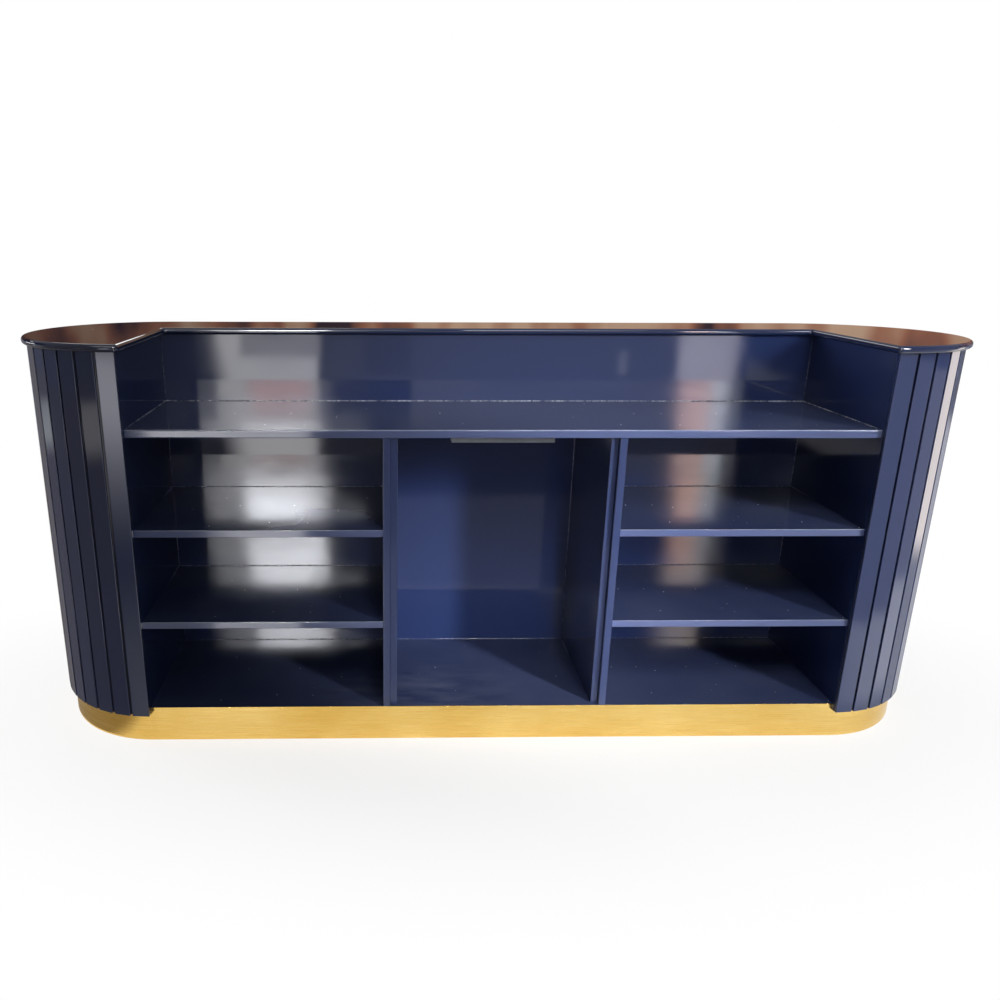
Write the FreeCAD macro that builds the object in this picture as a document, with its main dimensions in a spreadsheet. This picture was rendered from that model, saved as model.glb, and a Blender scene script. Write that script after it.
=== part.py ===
import FreeCAD, Part
import math
import os
from collections import namedtuple
from enum import IntEnum

import Sketcher
from FreeCAD import Rotation, Vector

# Information counter: a stadium-shaped carcass of lacquered boards with slatted round ends.
# Millimetres, +Z up. The origin is on the floor under the middle, and the staff side faces -Y.

# Driving dimensions. Heights are measured from the floor to the top face of the board named.
DIMENSIONS = {
    "overall_length": 2400,
    "overall_depth": 610,
    "overall_height": 1030,
    "top_thickness": 18,
    "top_overhang": 12,
    "top_inner_overhang": 10,
    "top_edge_round": 8,
    "slat_thickness": 9,
    "slat_gap": 5,
    "slat_bevel": 1.5,
    "slats_per_end": 18,
    "slats_along_front": 36,
    "skin_thickness": 6,
    "board_thickness": 18,
    "edge_round": 1.5,
    "plinth_height": 77,
    "band_thickness": 1,
    "worktop_height": 830,
    "worktop_thickness": 20,
    "worktop_edge_round": 3,
    "upper_shelf_height": 581,
    "lower_shelf_height": 337,
    "front_wall_depth": 172,
    "knee_space_width": 510,
    "cheek_setback": 13,
    "wall_ribs": 5,
    "cross_rails": 5,
    "formers_per_end": 3,
    "batten_length": 250,
    "batten_height": 20,
    "batten_depth": 30,
    "batten_setback": 40,
    "housing_depth": 6,
    "housing_stop": 15,
    "tongue_thickness": 6,
    "tongue_length": 80,
    "tongue_height": 20,
    "tongue_inset": 90,
    "fit_clearance": 0.2,
}

doc = FreeCAD.newDocument("information_counter")
sheet = doc.addObject("Spreadsheet::Sheet", "sizes")
for row, (alias, size) in enumerate(DIMENSIONS.items(), start=1):
    sheet.set("A%d" % row, alias)
    sheet.set("B%d" % row, str(size))
    sheet.setAlias("B%d" % row, alias)
doc.recompute()

# Sizes that follow from the driving dimensions, as expressions of the sheet's cells.
HALF_OPENING = "(sizes.overall_length / 2 - sizes.overall_depth / 2)"
OPENING = f"(2 * {HALF_OPENING})"
BOARD = "sizes.board_thickness"
TOP_RADIUS = "(sizes.overall_depth / 2)"
SLAT_RADIUS = f"({TOP_RADIUS} - sizes.top_overhang)"
SKIN_RADIUS = f"({SLAT_RADIUS} - sizes.slat_thickness)"
CORE_RADIUS = f"({SKIN_RADIUS} - sizes.skin_thickness)"
TOP_UNDERSIDE = "(sizes.overall_height - sizes.top_thickness)"
CLADDING_HEIGHT = f"({TOP_UNDERSIDE} - sizes.plinth_height)"
BASE_TOP = f"(sizes.plinth_height + {BOARD})"
PANEL_HEIGHT = f"({TOP_UNDERSIDE} - {BASE_TOP})"
WORKTOP_UNDERSIDE = "(sizes.worktop_height - sizes.worktop_thickness)"
UPRIGHT_HEIGHT = f"({WORKTOP_UNDERSIDE} - {BASE_TOP})"
BAY_DEPTH = f"(2 * {CORE_RADIUS} - sizes.front_wall_depth)"
BACK_FACE = f"({CORE_RADIUS} - sizes.front_wall_depth)"
WALL_HOLLOW = f"(sizes.front_wall_depth - {BOARD})"
HALF_KNEE = "(sizes.knee_space_width / 2)"
SHELF_WIDTH = f"({HALF_OPENING} - {HALF_KNEE} - 2 * {BOARD})"
# A wing panel stops where its outer corners meet the round skin.
WING_HALF_DEPTH = f"sqrt(pow({CORE_RADIUS}; 2) - pow({BOARD}; 2))"
WING_MIDDLE = f"({HALF_OPENING} + {BOARD} / 2)"
DIVIDER_MIDDLE = f"({HALF_KNEE} + 1.5 * {BOARD})"
CHEEK_MIDDLE = f"({HALF_KNEE} + {BOARD} / 2)"
BACK_MIDDLE = f"({BACK_FACE} + {BOARD} / 2)"
RIB_PITCH = f"({OPENING} / (sizes.wall_ribs + 1))"
RAIL_PITCH = f"({OPENING} / (sizes.cross_rails + 1))"
FORMER_PITCH = f"({PANEL_HEIGHT} / sizes.formers_per_end)"

# Shelves and worktop are let into the uprights, in grooves that stop short of the front.
SHELF_TOPS = ("sizes.lower_shelf_height", "sizes.upper_shelf_height")
HOUSED = "(sizes.housing_depth - sizes.fit_clearance)"
WORKTOP_HOUSED = "(sizes.worktop_thickness / 2)"

# Loose tongues hold the uprights on the base board and the counter top on its panels.
TONGUE_SEAT = "(sizes.tongue_height / 2)"
TONGUE_ROOM = f"({TONGUE_SEAT} + sizes.fit_clearance)"
TONGUE_FRONT = f"(sizes.tongue_inset - {CORE_RADIUS})"
TONGUE_BACK = f"({BACK_FACE} - sizes.tongue_inset)"

# Slats round an end share the half circle: each is followed by one groove.
SLAT_PITCH_ANGLE = "(180 / sizes.slats_per_end)"
SLAT_HALF_ANGLE = f"({SLAT_PITCH_ANGLE} / 2 - sizes.slat_gap / {SKIN_RADIUS} * 90 / pi)"
SLAT_HALF_WIDTH = f"({SKIN_RADIUS} * sin({SLAT_HALF_ANGLE} * 1 deg))"
FRONT_SLAT_PITCH = f"(({OPENING} + sizes.slat_gap) / sizes.slats_along_front)"
FRONT_SLAT_WIDTH = f"({FRONT_SLAT_PITCH} - sizes.slat_gap)"

# The top's edge rounding is limited by the top's thickness and by its inner overhang.
TOP_ROUND = "min(sizes.top_edge_round; 0.45 * sizes.top_thickness; 0.85 * sizes.top_inner_overhang)"
TOP_CORNER_ROUND = f"(1.1 * {TOP_ROUND})"

Arc = namedtuple("Arc", "centre_x centre_y fixed clockwise")
Tongue = namedtuple("Tongue", "x y along")
SIDES = (("left", -1), ("right", 1))


class Axis(IntEnum):
    """The numbers by which a sketch knows its own two axes."""
    X = -1
    Y = -2


class Spot(IntEnum):
    """The numbers by which a sketch knows the points of a curve."""
    START = 1
    END = 2
    CENTRE = 3


def number(expression):
    """The value that an expression of the sheet's cells has now."""
    result = sheet.evalExpression(expression)
    return float(getattr(result, "Value", result))


def mirrored(expression, side):
    """The expression for the right side, or its opposite for the left side."""
    return expression if side > 0 else f"(-({expression}))"


def add_body(label, x="0", y="0", z="0", turn=None):
    """A sub-part's body, placed by expressions and turned about +Z by an angle in degrees."""
    body = doc.addObject("PartDesign::Body", label)
    body.Label = label
    for axis, expression in zip("xyz", (x, y, z)):
        body.setExpression("Placement.Base." + axis, expression)
    if turn is not None:
        body.Placement.Rotation = Rotation(Vector(0, 0, 1), number(turn))
        body.setExpression("Placement.Rotation.Angle", f"({turn}) * 1 deg")
    return body


def origin_feature(body, role):
    """The plane or axis of the body's own origin that has this role."""
    return next(feature for feature in body.Origin.OriginFeatures if feature.Role == role)


def add_sketch(body, name, role="XY_Plane", offset="0"):
    """A sketch on one of the body's origin planes, moved along the plane's normal."""
    sketch = body.newObject("Sketcher::SketchObject", name)
    sketch.AttachmentSupport = [(origin_feature(body, role), "")]
    sketch.MapMode = "FlatFace"
    sketch.setExpression("AttachmentOffset.Base.z", offset)
    return sketch


def tie(sketch, constraint, name, expression):
    """Adds a named constraint whose value is an expression of the sheet's cells."""
    index = sketch.addConstraint(constraint)
    sketch.renameConstraint(index, name)
    sketch.setExpression("Constraints." + name, expression)


def place_point(sketch, geometry, end, x, y, name):
    """Fixes a point of the sketch at the place that two expressions give."""
    for kind, expression, axis in (("DistanceX", x, Axis.Y), ("DistanceY", y, Axis.X)):
        if expression == "0":
            sketch.addConstraint(Sketcher.Constraint("PointOnObject", geometry, end, axis))
        else:
            distance = Sketcher.Constraint(kind, -1, 1, geometry, end, number(expression))
            tie(sketch, distance, name + kind[-1].lower(), expression)


def draw_outline(sketch, corners, name="outline"):
    """Draws a closed outline through corners (x, y) or (x, y, arc to the next corner)."""
    ends = []
    places = [Vector(number(corner[0]), number(corner[1]), 0) for corner in corners]
    for index, corner in enumerate(corners):
        start = places[index]
        finish = places[(index + 1) % len(corners)]
        arc = corner[2] if len(corner) > 2 else None
        if arc is None:
            geometry = sketch.addGeometry(Part.LineSegment(start, finish))
            ends.append((geometry, Spot.START, Spot.END))
            continue
        centre = Vector(number(arc.centre_x), number(arc.centre_y), 0)
        first, last = (finish, start) if arc.clockwise else (start, finish)
        first_angle = math.atan2(first.y - centre.y, first.x - centre.x)
        last_angle = math.atan2(last.y - centre.y, last.x - centre.x)
        circle = Part.Circle(centre, Vector(0, 0, 1), first.distanceToPoint(centre))
        geometry = sketch.addGeometry(Part.ArcOfCircle(circle, first_angle, last_angle))
        ends.append((geometry, Spot.END, Spot.START) if arc.clockwise else (geometry, Spot.START, Spot.END))
        if arc.fixed == "x":
            place = Sketcher.Constraint("DistanceX", -1, 1, geometry, Spot.CENTRE, centre.x)
            axis, expression = Axis.Y, arc.centre_x
        else:
            place = Sketcher.Constraint("DistanceY", -1, 1, geometry, Spot.CENTRE, centre.y)
            axis, expression = Axis.X, arc.centre_y
        if expression == "0":
            sketch.addConstraint(Sketcher.Constraint("PointOnObject", geometry, Spot.CENTRE, axis))
        else:
            tie(sketch, place, f"{name}_centre{index}", expression)
    for index, (geometry, _, end) in enumerate(ends):
        following, start, _ = ends[(index + 1) % len(ends)]
        sketch.addConstraint(Sketcher.Constraint("Coincident", geometry, end, following, start))
    for index, (geometry, start, _) in enumerate(ends):
        x, y = corners[index][:2]
        place_point(sketch, geometry, start, x, y, f"{name}_corner{index}")


def rectangle(low_x, low_y, high_x, high_y):
    """The corners of a rectangle between two opposite corners."""
    return [(low_x, low_y), (high_x, low_y), (high_x, high_y), (low_x, high_y)]


def add_pad(body, sketch, length, name="pad"):
    """Pads a sketch along its normal."""
    pad = body.newObject("PartDesign::Pad", name)
    pad.Profile = sketch
    pad.setExpression("Length", length)
    doc.recompute()
    return pad


def add_board(label, corners, height, x, y, z):
    """A board whose footprint has these corners, with its own origin at x, y, z."""
    body = add_body(label, x, y, z)
    sketch = add_sketch(body, "footprint")
    draw_outline(sketch, corners)
    add_pad(body, sketch, height)
    return body


def cut_recesses(body, outlines, depth, role, offset="0", along_normal=False):
    """Cuts recesses of these outlines into the body and checks that they cut."""
    before = body.Shape.Volume
    sketch = add_sketch(body, "recess_outlines", role, offset)
    for index, corners in enumerate(outlines):
        draw_outline(sketch, corners, "recess%d" % index)
    pocket = body.newObject("PartDesign::Pocket", "recesses")
    pocket.Profile = sketch
    pocket.setExpression("Length", depth)
    pocket.Reversed = along_normal
    doc.recompute()
    if not body.Shape.Volume < before:
        raise RuntimeError("recesses miss the solid of " + body.Label)


def round_edges(body, radius, wanted):
    """Rounds the edges of the body's last feature that the test accepts."""
    feature = body.Tip
    names = ["Edge%d" % index for index, edge in enumerate(feature.Shape.Edges, start=1) if wanted(edge)]
    fillet = body.newObject("PartDesign::Fillet", "rounded_edges")
    fillet.Base = (feature, names)
    fillet.setExpression("Radius", radius)
    doc.recompute()


def repeat_along(body, pad, axis, length, count):
    """Repeats a pad along one of the body's axes, over a length between first and last."""
    pattern = body.newObject("PartDesign::LinearPattern", "repeated")
    pattern.Originals = [pad]
    pattern.Direction = (origin_feature(body, axis), [""])
    pattern.setExpression("Length", length)
    pattern.setExpression("Occurrences", count)
    body.Tip = pattern
    doc.recompute()


def same(first, second):
    """Whether two lengths agree closely enough to be the same place."""
    return abs(first - second) < 1e-4


def on_front(edge):
    """Whether an edge lies in the body's front plane."""
    return all(same(vertex.Y, 0) for vertex in edge.Vertexes)


def level(edge):
    """Whether an edge runs level."""
    first, last = edge.Vertexes[0], edge.Vertexes[-1]
    return same(first.Z, last.Z)


def upright_tongues(middle):
    """The two tongues under an upright whose middle is at the place given."""
    return [Tongue(middle, y, "y") for y in (TONGUE_FRONT, TONGUE_BACK)]


def back_tongues():
    """The tongues under the back panel, which are also the places of those above it."""
    return [Tongue(mirrored(f"({HALF_OPENING} / 2)", side), BACK_MIDDLE, "x") for _, side in SIDES]


def wing_top_tongues(side):
    """The tongues above one wing panel."""
    middle = mirrored(WING_MIDDLE, side)
    return [Tongue(middle, mirrored(f"({CORE_RADIUS} / 2)", end), "y") for _, end in SIDES]


def base_tongues():
    """Every tongue in the base board."""
    tongues = back_tongues()
    for _, side in SIDES:
        for middle in (WING_MIDDLE, DIVIDER_MIDDLE, CHEEK_MIDDLE):
            tongues += upright_tongues(mirrored(middle, side))
    return tongues


def top_tongues():
    """Every tongue in the counter top."""
    return back_tongues() + wing_top_tongues(-1) + wing_top_tongues(1)


def tongue_outline(tongue, x="0", y="0", room="0"):
    """A tongue's outline seen from a body at x, y, with room added at both of its ends."""
    half_thickness = "(sizes.tongue_thickness / 2)"
    half_length = f"(sizes.tongue_length / 2 + {room})"
    half_x, half_y = (half_length, half_thickness) if tongue.along == "x" else (half_thickness, half_length)
    middle_x, middle_y = f"({tongue.x} - ({x}))", f"({tongue.y} - ({y}))"
    return rectangle(
        f"({middle_x} - {half_x})", f"({middle_y} - {half_y})",
        f"({middle_x} + {half_x})", f"({middle_y} + {half_y})")


def cut_mortises(body, tongues, x, y, depth, face=None):
    """Cuts mortises for tongues up into the lower face of a body at x, y, or down from the face given."""
    outlines = [tongue_outline(tongue, x, y, "sizes.fit_clearance") for tongue in tongues]
    if face is None:
        cut_recesses(body, outlines, depth, "XY_Plane", along_normal=True)
    else:
        cut_recesses(body, outlines, depth, "XY_Plane", face)


def make_loose_tongues():
    """All the loose tongues, as one group of separate solids seated in the mortises below them."""
    body = add_body("loose_tongues")
    levels = ((BASE_TOP, base_tongues(), "base"), (TOP_UNDERSIDE, top_tongues(), "top"))
    for joint, tongues, name in levels:
        sketch = add_sketch(body, name + "_tongues", "XY_Plane", f"({joint} - {TONGUE_SEAT})")
        for index, tongue in enumerate(tongues):
            draw_outline(sketch, tongue_outline(tongue), "tongue%d" % index)
        add_pad(body, sketch, "sizes.tongue_height", name + "_pad")
    return body


def make_base_board():
    """The floor of the bays: one board with round ends, mortised for the tongues of the uprights."""
    near, left = f"(-{CORE_RADIUS})", f"(-{HALF_OPENING})"
    stadium = [
        (left, near),
        (HALF_OPENING, near, Arc(HALF_OPENING, "0", "x", False)),
        (HALF_OPENING, CORE_RADIUS),
        (left, CORE_RADIUS, Arc(left, "0", "x", False)),
    ]
    body = add_board("base_board", stadium, BOARD, "0", "0", "sizes.plinth_height")
    cut_mortises(body, base_tongues(), "0", "0", TONGUE_SEAT, BOARD)
    return body


def housing(top, thickness, front, foot):
    """The outline of a stopped groove on an upright, as depth from its front and height above its foot."""
    start, finish = f"(sizes.housing_stop + {front})", f"({BAY_DEPTH} + {front})"
    return rectangle(start, f"({top} - {thickness} - {foot})", finish, f"({top} - {foot})")


def shelf_housings(front):
    """The grooves for both shelves."""
    return [housing(top, BOARD, front, BASE_TOP) for top in SHELF_TOPS]


def make_wing_panel(name, side):
    """The board at one end of the opening, grooved for the shelves and the worktop."""
    x = HALF_OPENING if side > 0 else f"(-{HALF_OPENING} - {BOARD})"
    y = f"(-{WING_HALF_DEPTH})"
    corners = rectangle("0", "0", BOARD, f"(2 * {WING_HALF_DEPTH})")
    body = add_board("wing_panel_" + name, corners, PANEL_HEIGHT, x, y, BASE_TOP)
    front = f"({WING_HALF_DEPTH} - {CORE_RADIUS})"
    worktop = housing(f"({WORKTOP_UNDERSIDE} + {WORKTOP_HOUSED})", WORKTOP_HOUSED, front, BASE_TOP)
    face = "0" if side > 0 else BOARD
    grooves = shelf_housings(front) + [worktop]
    cut_recesses(body, grooves, "sizes.housing_depth", "YZ_Plane", face, along_normal=side > 0)
    cut_mortises(body, upright_tongues(mirrored(WING_MIDDLE, side)), x, y, TONGUE_ROOM)
    cut_mortises(body, wing_top_tongues(side), x, y, TONGUE_SEAT, PANEL_HEIGHT)
    return body


def make_divider(name, side):
    """The outer board of a double upright, flush with the shelves that are let into it."""
    x = f"({HALF_KNEE} + {BOARD})" if side > 0 else f"(-{HALF_KNEE} - 2 * {BOARD})"
    y = f"(-{CORE_RADIUS})"
    corners = rectangle("0", "0", BOARD, BAY_DEPTH)
    body = add_board("divider_" + name, corners, UPRIGHT_HEIGHT, x, y, BASE_TOP)
    round_edges(body, "sizes.edge_round", lambda edge: on_front(edge) and not level(edge))
    face = BOARD if side > 0 else "0"
    cut_recesses(body, shelf_housings("0"), "sizes.housing_depth", "YZ_Plane", face, along_normal=side < 0)
    cut_mortises(body, upright_tongues(mirrored(DIVIDER_MIDDLE, side)), x, y, TONGUE_ROOM)
    return body


def make_knee_cheek(name, side):
    """The inner board of a double upright, set back from the divider beside it."""
    x = HALF_KNEE if side > 0 else f"(-{HALF_KNEE} - {BOARD})"
    y = f"(sizes.cheek_setback - {CORE_RADIUS})"
    corners = rectangle("0", "0", BOARD, f"({BAY_DEPTH} - sizes.cheek_setback)")
    body = add_board("knee_cheek_" + name, corners, UPRIGHT_HEIGHT, x, y, BASE_TOP)
    round_edges(body, "sizes.edge_round", lambda edge: on_front(edge) and not level(edge))
    cut_mortises(body, upright_tongues(mirrored(CHEEK_MIDDLE, side)), x, y, TONGUE_ROOM)
    return body


def housed_corners(width):
    """The footprint of a board that is let into an upright at both ends, behind a plain front corner."""
    stop, past = "sizes.housing_stop", f"({width} + {HOUSED})"
    before = f"(-{HOUSED})"
    return [
        ("0", "0"), (width, "0"), (width, stop), (past, stop),
        (past, BAY_DEPTH), (before, BAY_DEPTH), (before, stop), ("0", stop),
    ]


def make_shelf(name, side, storey, top):
    """One shelf between a wing panel and a divider."""
    x = f"({HALF_OPENING} - {SHELF_WIDTH})" if side > 0 else f"(-{HALF_OPENING})"
    z = f"({top} - {BOARD})"
    body = add_board(f"shelf_{name}_{storey}", housed_corners(SHELF_WIDTH), BOARD, x, f"(-{CORE_RADIUS})", z)
    round_edges(body, "sizes.edge_round", lambda edge: on_front(edge) and level(edge))
    return body


def make_worktop():
    """The staff worktop: its lower half is let into the wing panels, and it stands on the dividers."""
    x, y = f"(-{HALF_OPENING})", f"(-{CORE_RADIUS})"
    corners = rectangle("0", "0", OPENING, BAY_DEPTH)
    body = add_board("worktop", corners, "sizes.worktop_thickness", x, y, WORKTOP_UNDERSIDE)
    sketch = add_sketch(body, "let_in_ends")
    draw_outline(sketch, housed_corners(OPENING))
    add_pad(body, sketch, WORKTOP_HOUSED, "ends_pad")
    round_edges(body, "sizes.worktop_edge_round", lambda edge: on_front(edge) and level(edge))
    return body


def make_back_panel():
    """The upright board behind the worktop and the bays."""
    x = f"(-{HALF_OPENING})"
    corners = rectangle("0", "0", OPENING, BOARD)
    body = add_board("back_panel", corners, PANEL_HEIGHT, x, BACK_FACE, BASE_TOP)
    cut_mortises(body, back_tongues(), x, BACK_FACE, TONGUE_ROOM)
    cut_mortises(body, back_tongues(), x, BACK_FACE, TONGUE_SEAT, PANEL_HEIGHT)
    return body


def make_worktop_batten():
    """The short bar under the worktop in the knee space."""
    x = "(-sizes.batten_length / 2)"
    y = f"(sizes.batten_setback - {CORE_RADIUS})"
    z = f"({WORKTOP_UNDERSIDE} - sizes.batten_height)"
    corners = rectangle("0", "0", "sizes.batten_length", "sizes.batten_depth")
    body = add_board("worktop_batten", corners, "sizes.batten_height", x, y, z)
    round_edges(body, "sizes.edge_round", lambda edge: all(same(vertex.Z, 0) for vertex in edge.Vertexes))
    return body


def make_wall_parts():
    """The ribs and the top rail inside the hollow wall on the customer side."""
    behind = f"({BACK_FACE} + {BOARD})"
    start = f"({RIB_PITCH} - {HALF_OPENING} - {BOARD} / 2)"
    corners = rectangle("0", "0", BOARD, WALL_HOLLOW)
    ribs = add_board("wall_ribs", corners, f"({PANEL_HEIGHT} - {BOARD})", start, behind, BASE_TOP)
    repeat_along(ribs, ribs.Tip, "X_Axis", f"({RIB_PITCH} * (sizes.wall_ribs - 1))", "sizes.wall_ribs")
    corners = rectangle("0", "0", OPENING, WALL_HOLLOW)
    rail_foot = f"({TOP_UNDERSIDE} - {BOARD})"
    rail = add_board("wall_top_rail", corners, BOARD, f"(-{HALF_OPENING})", behind, rail_foot)
    return [ribs, rail]


def make_end_formers(name, side):
    """The half-round plates of one end, which hold the bent skin to its curve."""
    flat = mirrored(BOARD, side)
    near, far = f"(-{WING_HALF_DEPTH})", WING_HALF_DEPTH
    first, last = (near, far) if side > 0 else (far, near)
    half_disc = [(flat, first, Arc("0", "0", "x", False)), (flat, last)]
    foot = f"({BASE_TOP} + {FORMER_PITCH} - {BOARD})"
    body = add_board("end_formers_" + name, half_disc, BOARD, mirrored(HALF_OPENING, side), "0", foot)
    length = f"({FORMER_PITCH} * (sizes.formers_per_end - 1))"
    repeat_along(body, body.Tip, "Z_Axis", length, "sizes.formers_per_end")
    return body


def make_half_ring(label, side, inner, outer, z, height):
    """A bent sheet that follows one round end."""
    sign = "" if side > 0 else "-"
    far_outer, far_inner = f"({sign}{outer})", f"({sign}{inner})"
    near_outer, near_inner = f"(-({far_outer}))", f"(-({far_inner}))"
    half_ring = [
        ("0", near_outer, Arc("0", "0", "x", False)),
        ("0", far_outer),
        ("0", far_inner, Arc("0", "0", "x", True)),
        ("0", near_inner),
    ]
    return add_board(label, half_ring, height, mirrored(HALF_OPENING, side), "0", z)


def make_end_slats(name, side):
    """The slats of one end: a bevelled slat that seats on the round skin, repeated about the end's axis."""
    turn = f"(180 + {SLAT_HALF_ANGLE})" if side > 0 else f"(180 - {SLAT_HALF_ANGLE})"
    body = add_body("slats_" + name, mirrored(HALF_OPENING, side), "0", "sizes.plinth_height", turn)
    half = SLAT_HALF_WIDTH
    seat = f"({SKIN_RADIUS} * cos({SLAT_HALF_ANGLE} * 1 deg))"
    shoulder = f"({SLAT_RADIUS} - sizes.slat_bevel)"
    shoulder_half = f"({half} - sizes.slat_bevel)"
    sketch = add_sketch(body, "slat")
    draw_outline(sketch, [
        (half, seat),
        (half, shoulder),
        (shoulder_half, SLAT_RADIUS),
        (f"(-{shoulder_half})", SLAT_RADIUS),
        (f"(-{half})", shoulder),
        (f"(-{half})", seat, Arc("0", "0", "y", True)),
    ])
    slat = add_pad(body, sketch, CLADDING_HEIGHT)
    pattern = body.newObject("PartDesign::PolarPattern", "round_the_end")
    pattern.Originals = [slat]
    pattern.Axis = (origin_feature(body, "Z_Axis"), [""])
    pattern.Reversed = side < 0
    pattern.setExpression("Angle", f"(180 - {SLAT_PITCH_ANGLE}) * 1 deg")
    pattern.setExpression("Occurrences", "sizes.slats_per_end")
    body.Tip = pattern
    doc.recompute()
    return body


def make_front_slats():
    """The slats along the customer side."""
    bevel = "sizes.slat_bevel"
    shoulder = f"(sizes.slat_thickness - {bevel})"
    slat = [
        ("0", "0"),
        (FRONT_SLAT_WIDTH, "0"),
        (FRONT_SLAT_WIDTH, shoulder),
        (f"({FRONT_SLAT_WIDTH} - {bevel})", "sizes.slat_thickness"),
        (bevel, "sizes.slat_thickness"),
        ("0", shoulder),
    ]
    x = f"(-{HALF_OPENING})"
    body = add_board("slats_front", slat, CLADDING_HEIGHT, x, SKIN_RADIUS, "sizes.plinth_height")
    length = f"({FRONT_SLAT_PITCH} * (sizes.slats_along_front - 1))"
    repeat_along(body, body.Tip, "X_Axis", length, "sizes.slats_along_front")
    return body


def make_plinth():
    """The plinth frame: half-round end blocks, two long rails and cross rails between them."""
    parts = []
    height = "sizes.plinth_height"
    for name, side in SIDES:
        near, far = f"(-{CORE_RADIUS})", CORE_RADIUS
        first, last = (near, far) if side > 0 else (far, near)
        half_disc = [("0", first, Arc("0", "0", "x", False)), ("0", last)]
        x = mirrored(HALF_OPENING, side)
        parts.append(add_board("plinth_end_" + name, half_disc, height, x, "0", "0"))
    x, inside = f"(-{HALF_OPENING})", f"({CORE_RADIUS} - {BOARD})"
    for name, y in (("staff", f"(-{CORE_RADIUS})"), ("customer", inside)):
        corners = rectangle("0", "0", OPENING, BOARD)
        parts.append(add_board("plinth_rail_" + name, corners, height, x, y, "0"))
    start = f"({RAIL_PITCH} - {HALF_OPENING} - {BOARD} / 2)"
    corners = rectangle("0", "0", BOARD, f"(2 * {inside})")
    cross = add_board("plinth_cross_rails", corners, height, start, f"(-{inside})", "0")
    repeat_along(cross, cross.Tip, "X_Axis", f"({RAIL_PITCH} * (sizes.cross_rails - 1))", "sizes.cross_rails")
    return parts + [cross]


def make_plinth_bands():
    """The metal band round the plinth. On the staff side it also covers the base board's edge."""
    x, metal, low = f"(-{HALF_OPENING})", "sizes.band_thickness", "sizes.plinth_height"
    outer = f"({CORE_RADIUS} + {metal})"
    strip = rectangle("0", "0", OPENING, metal)
    parts = [
        add_board("plinth_band_staff", strip, BASE_TOP, x, f"(-{outer})", "0"),
        add_board("plinth_band_customer", strip, low, x, CORE_RADIUS, "0"),
    ]
    for name, side in SIDES:
        parts.append(make_half_ring("plinth_band_" + name, side, CORE_RADIUS, outer, "0", low))
    return parts


def make_counter_top():
    """The U-shaped top over both wings and the wall, with all its edges rounded."""
    near, far = f"(-{TOP_RADIUS})", TOP_RADIUS
    left = f"(-{HALF_OPENING})"
    inner = f"({HALF_OPENING} - sizes.top_inner_overhang)"
    inner_left = f"(-{inner})"
    inner_back = f"({BACK_FACE} - sizes.top_inner_overhang)"
    outline = [
        (left, near),
        (inner_left, near),
        (inner_left, inner_back),
        (inner, inner_back),
        (inner, near),
        (HALF_OPENING, near, Arc(HALF_OPENING, "0", "x", False)),
        (HALF_OPENING, far),
        (left, far, Arc(left, "0", "x", False)),
    ]
    body = add_board("counter_top", outline, "sizes.top_thickness", "0", "0", TOP_UNDERSIDE)
    inner_x, near_y, back_y = number(inner), number(near), number(inner_back)

    def at_inner_corner(edge):
        first = edge.Vertexes[0]
        in_line = same(abs(first.X), inner_x) and (same(first.Y, near_y) or same(first.Y, back_y))
        return in_line and not level(edge)

    round_edges(body, TOP_CORNER_ROUND, at_inner_corner)
    thickness = number("sizes.top_thickness")

    def on_rim(edge):
        heights = [vertex.Z for vertex in edge.Vertexes]
        return level(edge) and (same(heights[0], 0) or same(heights[0], thickness))

    round_edges(body, TOP_ROUND, on_rim)
    cut_mortises(body, top_tongues(), "0", "0", TONGUE_ROOM)
    return body


def make_front_skin():
    """The flat backing of the slats on the customer side."""
    corners = rectangle("0", "0", OPENING, "sizes.skin_thickness")
    x = f"(-{HALF_OPENING})"
    return add_board("front_skin", corners, CLADDING_HEIGHT, x, CORE_RADIUS, "sizes.plinth_height")


def make_end(name, side):
    """One round end: its formers, its bent skin and its slats."""
    foot = "sizes.plinth_height"
    skin = make_half_ring("end_skin_" + name, side, CORE_RADIUS, SKIN_RADIUS, foot, CLADDING_HEIGHT)
    return [make_end_formers(name, side), skin, make_end_slats(name, side)]


def make_all():
    """Builds every sub-part and returns their bodies."""
    parts = make_plinth() + make_plinth_bands()
    parts += [make_base_board(), make_loose_tongues(), make_back_panel()]
    parts += [make_worktop(), make_worktop_batten()]
    for name, side in SIDES:
        parts += [make_wing_panel(name, side), make_divider(name, side), make_knee_cheek(name, side)]
        for storey, top in zip(("lower", "upper"), SHELF_TOPS):
            parts.append(make_shelf(name, side, storey, top))
        parts += make_end(name, side)
    parts += make_wall_parts()
    return parts + [make_front_skin(), make_front_slats(), make_counter_top()]


def export(parts):
    """Checks every object and shape, then writes one STEP file for each sub-part."""
    doc.recompute()
    failed = [item.Label for item in doc.Objects if {"Invalid", "Error"} & set(item.State)]
    failed += [part.Label for part in parts if part.Shape.isNull() or not part.Shape.isValid()]
    if failed:
        raise RuntimeError("not built: " + ", ".join(failed))
    os.makedirs("parts", exist_ok=True)
    for part in parts:
        part.Shape.exportStep(f"parts/{part.Label}.step")
        box = part.Shape.optimalBoundingBox(False, False)
        size = f"{box.XLength:.1f} x {box.YLength:.1f} x {box.ZLength:.1f}"
        print(f"{part.Label}: {len(part.Shape.Solids)} solids, {size}")


export(make_all())
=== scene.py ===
"""The looks of an information counter in navy gloss lacquer, with slatted round ends and a gold plinth band.

Metres, +Z up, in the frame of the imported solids. The staff side, which the photograph shows, faces -Y.
"""
import logging
import math
from collections.abc import Callable
from dataclasses import dataclass
from enum import Enum
from functools import partial

import bmesh
import bpy
from bpy.types import Material, Mesh, Node, NodeSocket, NodeTree, Object
from mathutils import Matrix, Vector


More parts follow.
